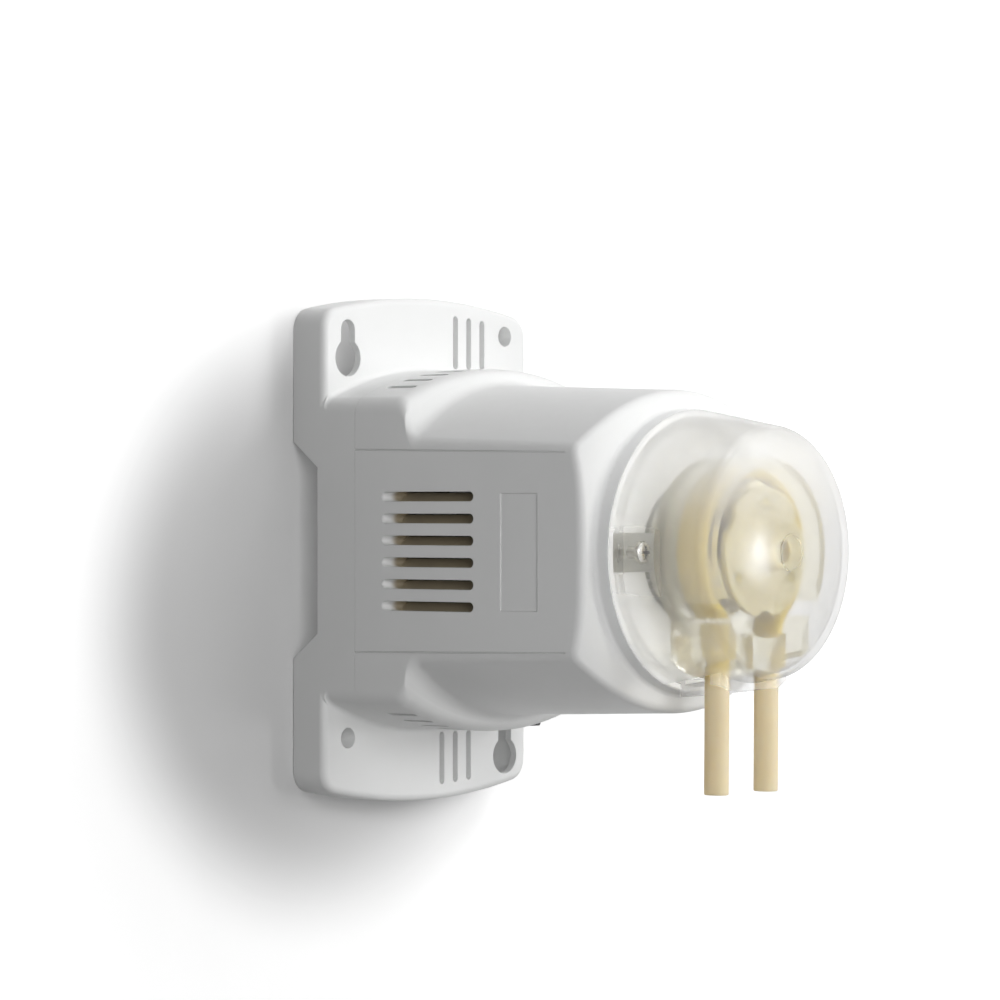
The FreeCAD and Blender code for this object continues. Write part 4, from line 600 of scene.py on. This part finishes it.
# Middle line of the tube in the plane of the head, from the left end over the top to the right end.
# Leg, bend and half the track are worked out for the right side, and the left side mirrors them.
# Returns x, z and the share of roundness, 0 on the track and 1 in the legs.
def tubeLine(t):
    steps = t["steps"]
    lean = math.atan2(-t["bendZ"], t["bendX"])
    turn = np.linspace(math.pi / 2, -lean, steps["track"])
    trackX, trackZ = t["trackRadius"] * np.cos(turn), t["trackRadius"] * np.sin(turn)
    back = np.linspace(math.pi - lean, math.pi, steps["bend"])[1:]
    bendX = t["bendX"] + t["bendRadius"] * np.cos(back)
    bendZ = t["bendZ"] + t["bendRadius"] * np.sin(back)
    legZ = np.concatenate([np.linspace(t["bendZ"], t["roundZ"], steps["change"])[1:],
                           np.linspace(t["roundZ"], t["endZ"], steps["leg"])[1:]])
    hang = (t["roundZ"] - np.minimum(legZ, t["roundZ"])) / (t["roundZ"] - t["endZ"])
    legX = t["pitch"] - t["bow"] * hang ** 2
    x = np.concatenate([trackX, bendX, legX])
    z = np.concatenate([trackZ, bendZ, legZ])
    low = np.clip((t["bendZ"] - z) / (t["bendZ"] - t["roundZ"]), 0, 1)
    roundness = low * low * (3 - 2 * low) * (np.arange(len(z)) >= len(turn))
    otherZ, otherRoundness = z[:0:-1], roundness[:0:-1]
    otherHang = (t["roundZ"] - otherZ) / (t["roundZ"] - t["endZ"])
    otherX = -x[:0:-1] - 2 * t["bow"] * (otherRoundness == 1) * otherHang ** 2
    return (np.concatenate([otherX, x]), np.concatenate([otherZ, z]),
            np.concatenate([otherRoundness, roundness]))


# Rings of the tube: a circle as wide as the thickness, its halves drawn apart to the full width.
def tubeRings(x, z, width, thick, t):
    alongX, alongZ = np.gradient(x), np.gradient(z)
    size = np.hypot(alongX, alongZ)
    sideX, sideZ = alongZ / size, -alongX / size
    angle = np.linspace(0, math.tau, t["around"], endpoint=False)
    apart = np.clip(t["flatSpread"] * np.cos(angle), -1, 1)
    outward = thick[:, None] / 2 * np.sin(angle)
    forward = thick[:, None] / 2 * np.cos(angle) + (width - thick)[:, None] / 2 * apart
    return np.stack([x[:, None] + sideX[:, None] * outward, -t["depth"] - forward,
                     z[:, None] + sideZ[:, None] * outward], axis=2)


# A grid closed both ways: each corner is joined to the next one in its ring and in the next ring.
def closedGrid(name, rings):
    rows, columns = rings.shape[:2]
    index = np.arange(rows * columns).reshape(rows, columns)
    across, onward = np.roll(index, -1, axis=1), np.roll(index, -1, axis=0)
    both = np.roll(across, -1, axis=0)
    faces = np.stack([index, across, both, onward], axis=2).reshape(-1, 4)
    points = rings.reshape(-1, 3)
    first, second, third = (points[faces[:, corner]] for corner in range(3))
    if np.einsum("ij,ij->i", first, np.cross(second, third)).sum() < 0:  # inside out
        faces = faces[:, ::-1]
    mesh = bpy.data.meshes.new(name)
    mesh.from_pydata(points.tolist(), [], faces.tolist())
    mesh.shade_smooth()
    return mesh


# Outside from left to right, a rounded lip, the bore back again, and the other lip.
def pumpTube(t):
    x, z, roundness = tubeLine(t)

    def sweep(flatWidth, flatThick, radius):
        width = flatWidth + (2 * radius - flatWidth) * roundness
        thick = flatThick + (2 * radius - flatThick) * roundness
        return tubeRings(x, z, width, thick, t)

    outer = sweep(t["flatWidth"], t["flatThick"], t["radius"])
    bore = sweep(t["flatBoreWidth"], t["flatBore"], t["boreRadius"])
    quarter = np.linspace(0, math.pi / 2, t["steps"]["lip"])[:, None, None]
    wall = t["radius"] - t["boreRadius"]

    def lipRings(at, up):
        middle = np.array([x[at], -t["depth"], z[at]])
        ray = (outer[at] - middle) / t["radius"]
        big = middle + ray * (t["radius"] - t["lip"] * (1 - np.cos(quarter)))
        big[:, :, 2] += up * t["lip"] * (1 - np.sin(quarter[:, :, 0]))
        small = middle + ray * (t["boreRadius"] + t["lip"] * (1 - np.cos(quarter[::-1])))
        small[:, :, 2] += up * t["lip"] * (1 - np.sin(quarter[::-1, :, 0]))
        half = middle + ray * (t["boreRadius"] + wall / 2)
        return np.concatenate([big, half[None], small])

    rightLip, leftLip = lipRings(-1, 1), lipRings(0, 1)
    rings = np.concatenate([outer[1:-1], rightLip, bore[-2:0:-1], leftLip[::-1]])
    piece = bpy.data.objects.new("pumpTubeLength", closedGrid("pumpTubeLength", rings))
    bpy.context.collection.objects.link(piece)
    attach(piece, bodyOf["pump_tube"])
    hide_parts("pump_tube")
    paint(piece, "siliconeTube")


pumpTube(tubeSet)
print("stage: tube laid")

# Scoops at the rear ends of the side vents: the slot's round end slopes forward as it goes in.
scoopSet = {"halfWidth": 0.042, "start": 0.03160, "reach": 0.00125, "rows": 6, "pitch": 0.00573,
            "clear": 0.00005, "mouth": 0.00012, "deep": 0.0052, "slope": 0.75, "gather": 1.5,
            "thick": 0.0005, "around": 14, "down": 12}


# One scoop is half a circle carried inwards. Each step in also moves it forward by the slope.
def ventScoops(s):
    angle = np.linspace(-math.pi / 2, math.pi / 2, s["around"])
    inward = s["mouth"] + (s["deep"] - s["mouth"]) * np.linspace(0, 1, s["down"]) ** s["gather"]
    depth, turn = np.meshgrid(inward, angle, indexing="ij")
    radius = s["reach"] - s["clear"]
    y = -(s["start"] + s["reach"]) + radius * np.cos(turn) - s["slope"] * (depth - s["mouth"])
    grids = []
    for right in (1, -1):
        for row in range(s["rows"]):
            middle = (row - (s["rows"] - 1) / 2) * s["pitch"]
            across, up = right * (s["halfWidth"] - depth), middle + radius * np.sin(turn)
            grids.append(np.stack([across, y, up], axis=2))
    points = np.concatenate([grid.reshape(-1, 3) for grid in grids])
    index = np.arange(len(points)).reshape(len(grids), s["down"], s["around"])
    faces = np.stack([index[:, :-1, :-1], index[:, :-1, 1:], index[:, 1:, 1:], index[:, 1:, :-1]],
                     axis=3)
    faces[s["rows"]:] = faces[s["rows"]:, :, :, ::-1]  # the left side is a mirror image
    mesh = bpy.data.meshes.new("ventScoops")
    mesh.from_pydata(points.tolist(), [], faces.reshape(-1, 4).tolist())
    mesh.shade_smooth()
    piece = bpy.data.objects.new("ventScoops", mesh)
    bpy.context.collection.objects.link(piece)
    wall = piece.modifiers.new("wall", "SOLIDIFY")
    wall.thickness, wall.offset = s["thick"], -1.0
    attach(piece, bodyOf["front_housing"])
    # the shell's painted shade darkens each scoop as it goes in
    paint(piece, "shellPlastic")


ventScoops(scoopSet)
print("stage: vent scoops made")

# The wall and floor belong to the stage. The paper is white where nothing shades it, and painted
# light makes it glow brighter away from the pump, outside an oval of the given half width and half
# height, which cuts the pump's shadow short.
stageSet = {"wallGap": 0.0006, "half": 3.0, "floorLow": -0.42}
paperSet = {"white": 0.69, "bounce": 0.20, "paintedLift": 0.46, "wide": 0.084, "tall": 0.082,
            "middle": (-0.03, 0, -0.016), "paintedLiftFrom": 0.7, "paintedLiftTo": 1.15}


def stageMaterial(name, white, bounce, paintedLift, wide, tall, middle, paintedLiftFrom, paintedLiftTo):
    material, tree = newMaterial(name)
    light = addNode(tree, "LightPath")
    paper = addNode(tree, "BsdfDiffuse", Color=rgba((white, white, white)))
    glow = addNode(tree, "Emission")
    oval = addNode(tree, "Mapping", vector_type="TEXTURE", Location=middle, Scale=(wide, 1.0, tall))
    tree.links.new(place(tree), oval.inputs["Vector"])
    away = addNode(tree, "VectorMath", operation="LENGTH")
    tree.links.new(oval.outputs["Vector"], away.inputs[0])
    # painted light: the paper glows more the farther it lies outside the oval
    rise = change(tree, away.outputs["Value"], paintedLiftFrom, paintedLiftTo, 0.0, paintedLift)
    tree.links.new(rise, glow.inputs["Strength"])
    seen = addNode(tree, "AddShader")
    tree.links.new(paper.outputs[0], seen.inputs[0])
    tree.links.new(glow.outputs[0], seen.inputs[1])
    dull = addNode(tree, "BsdfDiffuse", Color=rgba((bounce, bounce, bounce)))
    front = blendShaders(tree, seenShare(tree, light), dull.outputs[0], seen.outputs[0])
    behind = addNode(tree, "NewGeometry").outputs["Backfacing"]
    openShare = mathNode(tree, "MAXIMUM", behind, light.outputs["Is Shadow Ray"])
    clear = addNode(tree, "BsdfTransparent")
    finish(tree, blendShaders(tree, openShare, front, clear.outputs[0]))
    return material


def stagePlane(name, corners, material):
    mesh = bpy.data.meshes.new(name)
    mesh.from_pydata(corners, [], [(0, 1, 2, 3)])
    plane = bpy.data.objects.new(name, mesh)
    bpy.context.collection.objects.link(plane)
    mesh.materials.append(material)


def makeStage(material, wallGap, half, floorLow):
    stagePlane("wall", [(-half, wallGap, floorLow), (half, wallGap, floorLow),
                        (half, wallGap, half), (-half, wallGap, half)], material)
    stagePlane("floor", [(-half, -half, floorLow), (half, -half, floorLow),
                         (half, wallGap, floorLow), (-half, wallGap, floorLow)], material)


makeStage(stageMaterial("stagePaper", **paperSet), **stageSet)

# Soft lamps: each stands at a turn and height about the pump and looks at its middle.
lampAim = Vector((0, -0.06, 0))
lampSet = {
    "keyLamp": {"turn": 25.0, "height": 5.0, "distance": 2.5, "wide": 1.0, "tall": 1.2,
                "power": 5.0, "mirrored": False},
    "windowLamp": {"turn": 39.0, "height": -1.0, "distance": 2.5, "wide": 0.3, "tall": 0.32,
                   "power": 5.0, "mirrored": True},
    "highLamp": {"turn": 45.0, "height": 20.0, "distance": 2.5, "wide": 1.0, "tall": 1.2,
                 "power": 23.0, "mirrored": False},
    "topLamp": {"turn": 42.0, "height": 60.0, "distance": 2.0, "wide": 1.2, "tall": 1.0,
                "power": 17.8, "mirrored": False},
    "sideLamp": {"turn": -34.0, "height": 10.0, "distance": 2.0, "wide": 1.2, "tall": 1.2,
                 "power": 17.0, "mirrored": False},
    "lowLamp": {"turn": -10.0, "height": -20.0, "distance": 2.3, "wide": 1.0, "tall": 0.8,
                "power": 3.0, "mirrored": False},
    "backLamp": {"turn": 180.0, "height": 0.0, "distance": 2.0, "wide": 1.6, "tall": 1.6,
                 "power": 20.0, "mirrored": False},
}
worldSet = {"seen": 1.0, "fill": 0.015}


def makeLamp(name, turn, height, distance, wide, tall, power, mirrored):
    away = direction(math.radians(turn), math.radians(height))
    data = bpy.data.lights.new(name, "AREA")
    data.shape = "RECTANGLE"
    data.size, data.size_y, data.energy = wide, tall, power
    lamp = bpy.data.objects.new(name, data)
    lamp.location = lampAim + away * distance
    lamp.rotation_euler = away.to_track_quat("Z", "Y").to_euler()
    lamp.visible_glossy = mirrored
    bpy.context.collection.objects.link(lamp)


# White where it is seen, and a weak fill for everything else.
def makeWorld(seen, fill):
    world = bpy.data.worlds.new("paleWorld")
    world.use_nodes = True
    scene.world = world
    tree = world.node_tree
    tree.nodes.clear()
    strength = spread(tree, seenShare(tree, addNode(tree, "LightPath")), fill, seen)
    background = addNode(tree, "Background", Color=(1, 1, 1, 1))
    tree.links.new(strength, background.inputs["Strength"])
    output = addNode(tree, "OutputWorld")
    tree.links.new(background.outputs[0], output.inputs["Surface"])


for lampName, values in lampSet.items():
    makeLamp(lampName, **values)
makeWorld(**worldSet)
print("stage: lamps and world made")
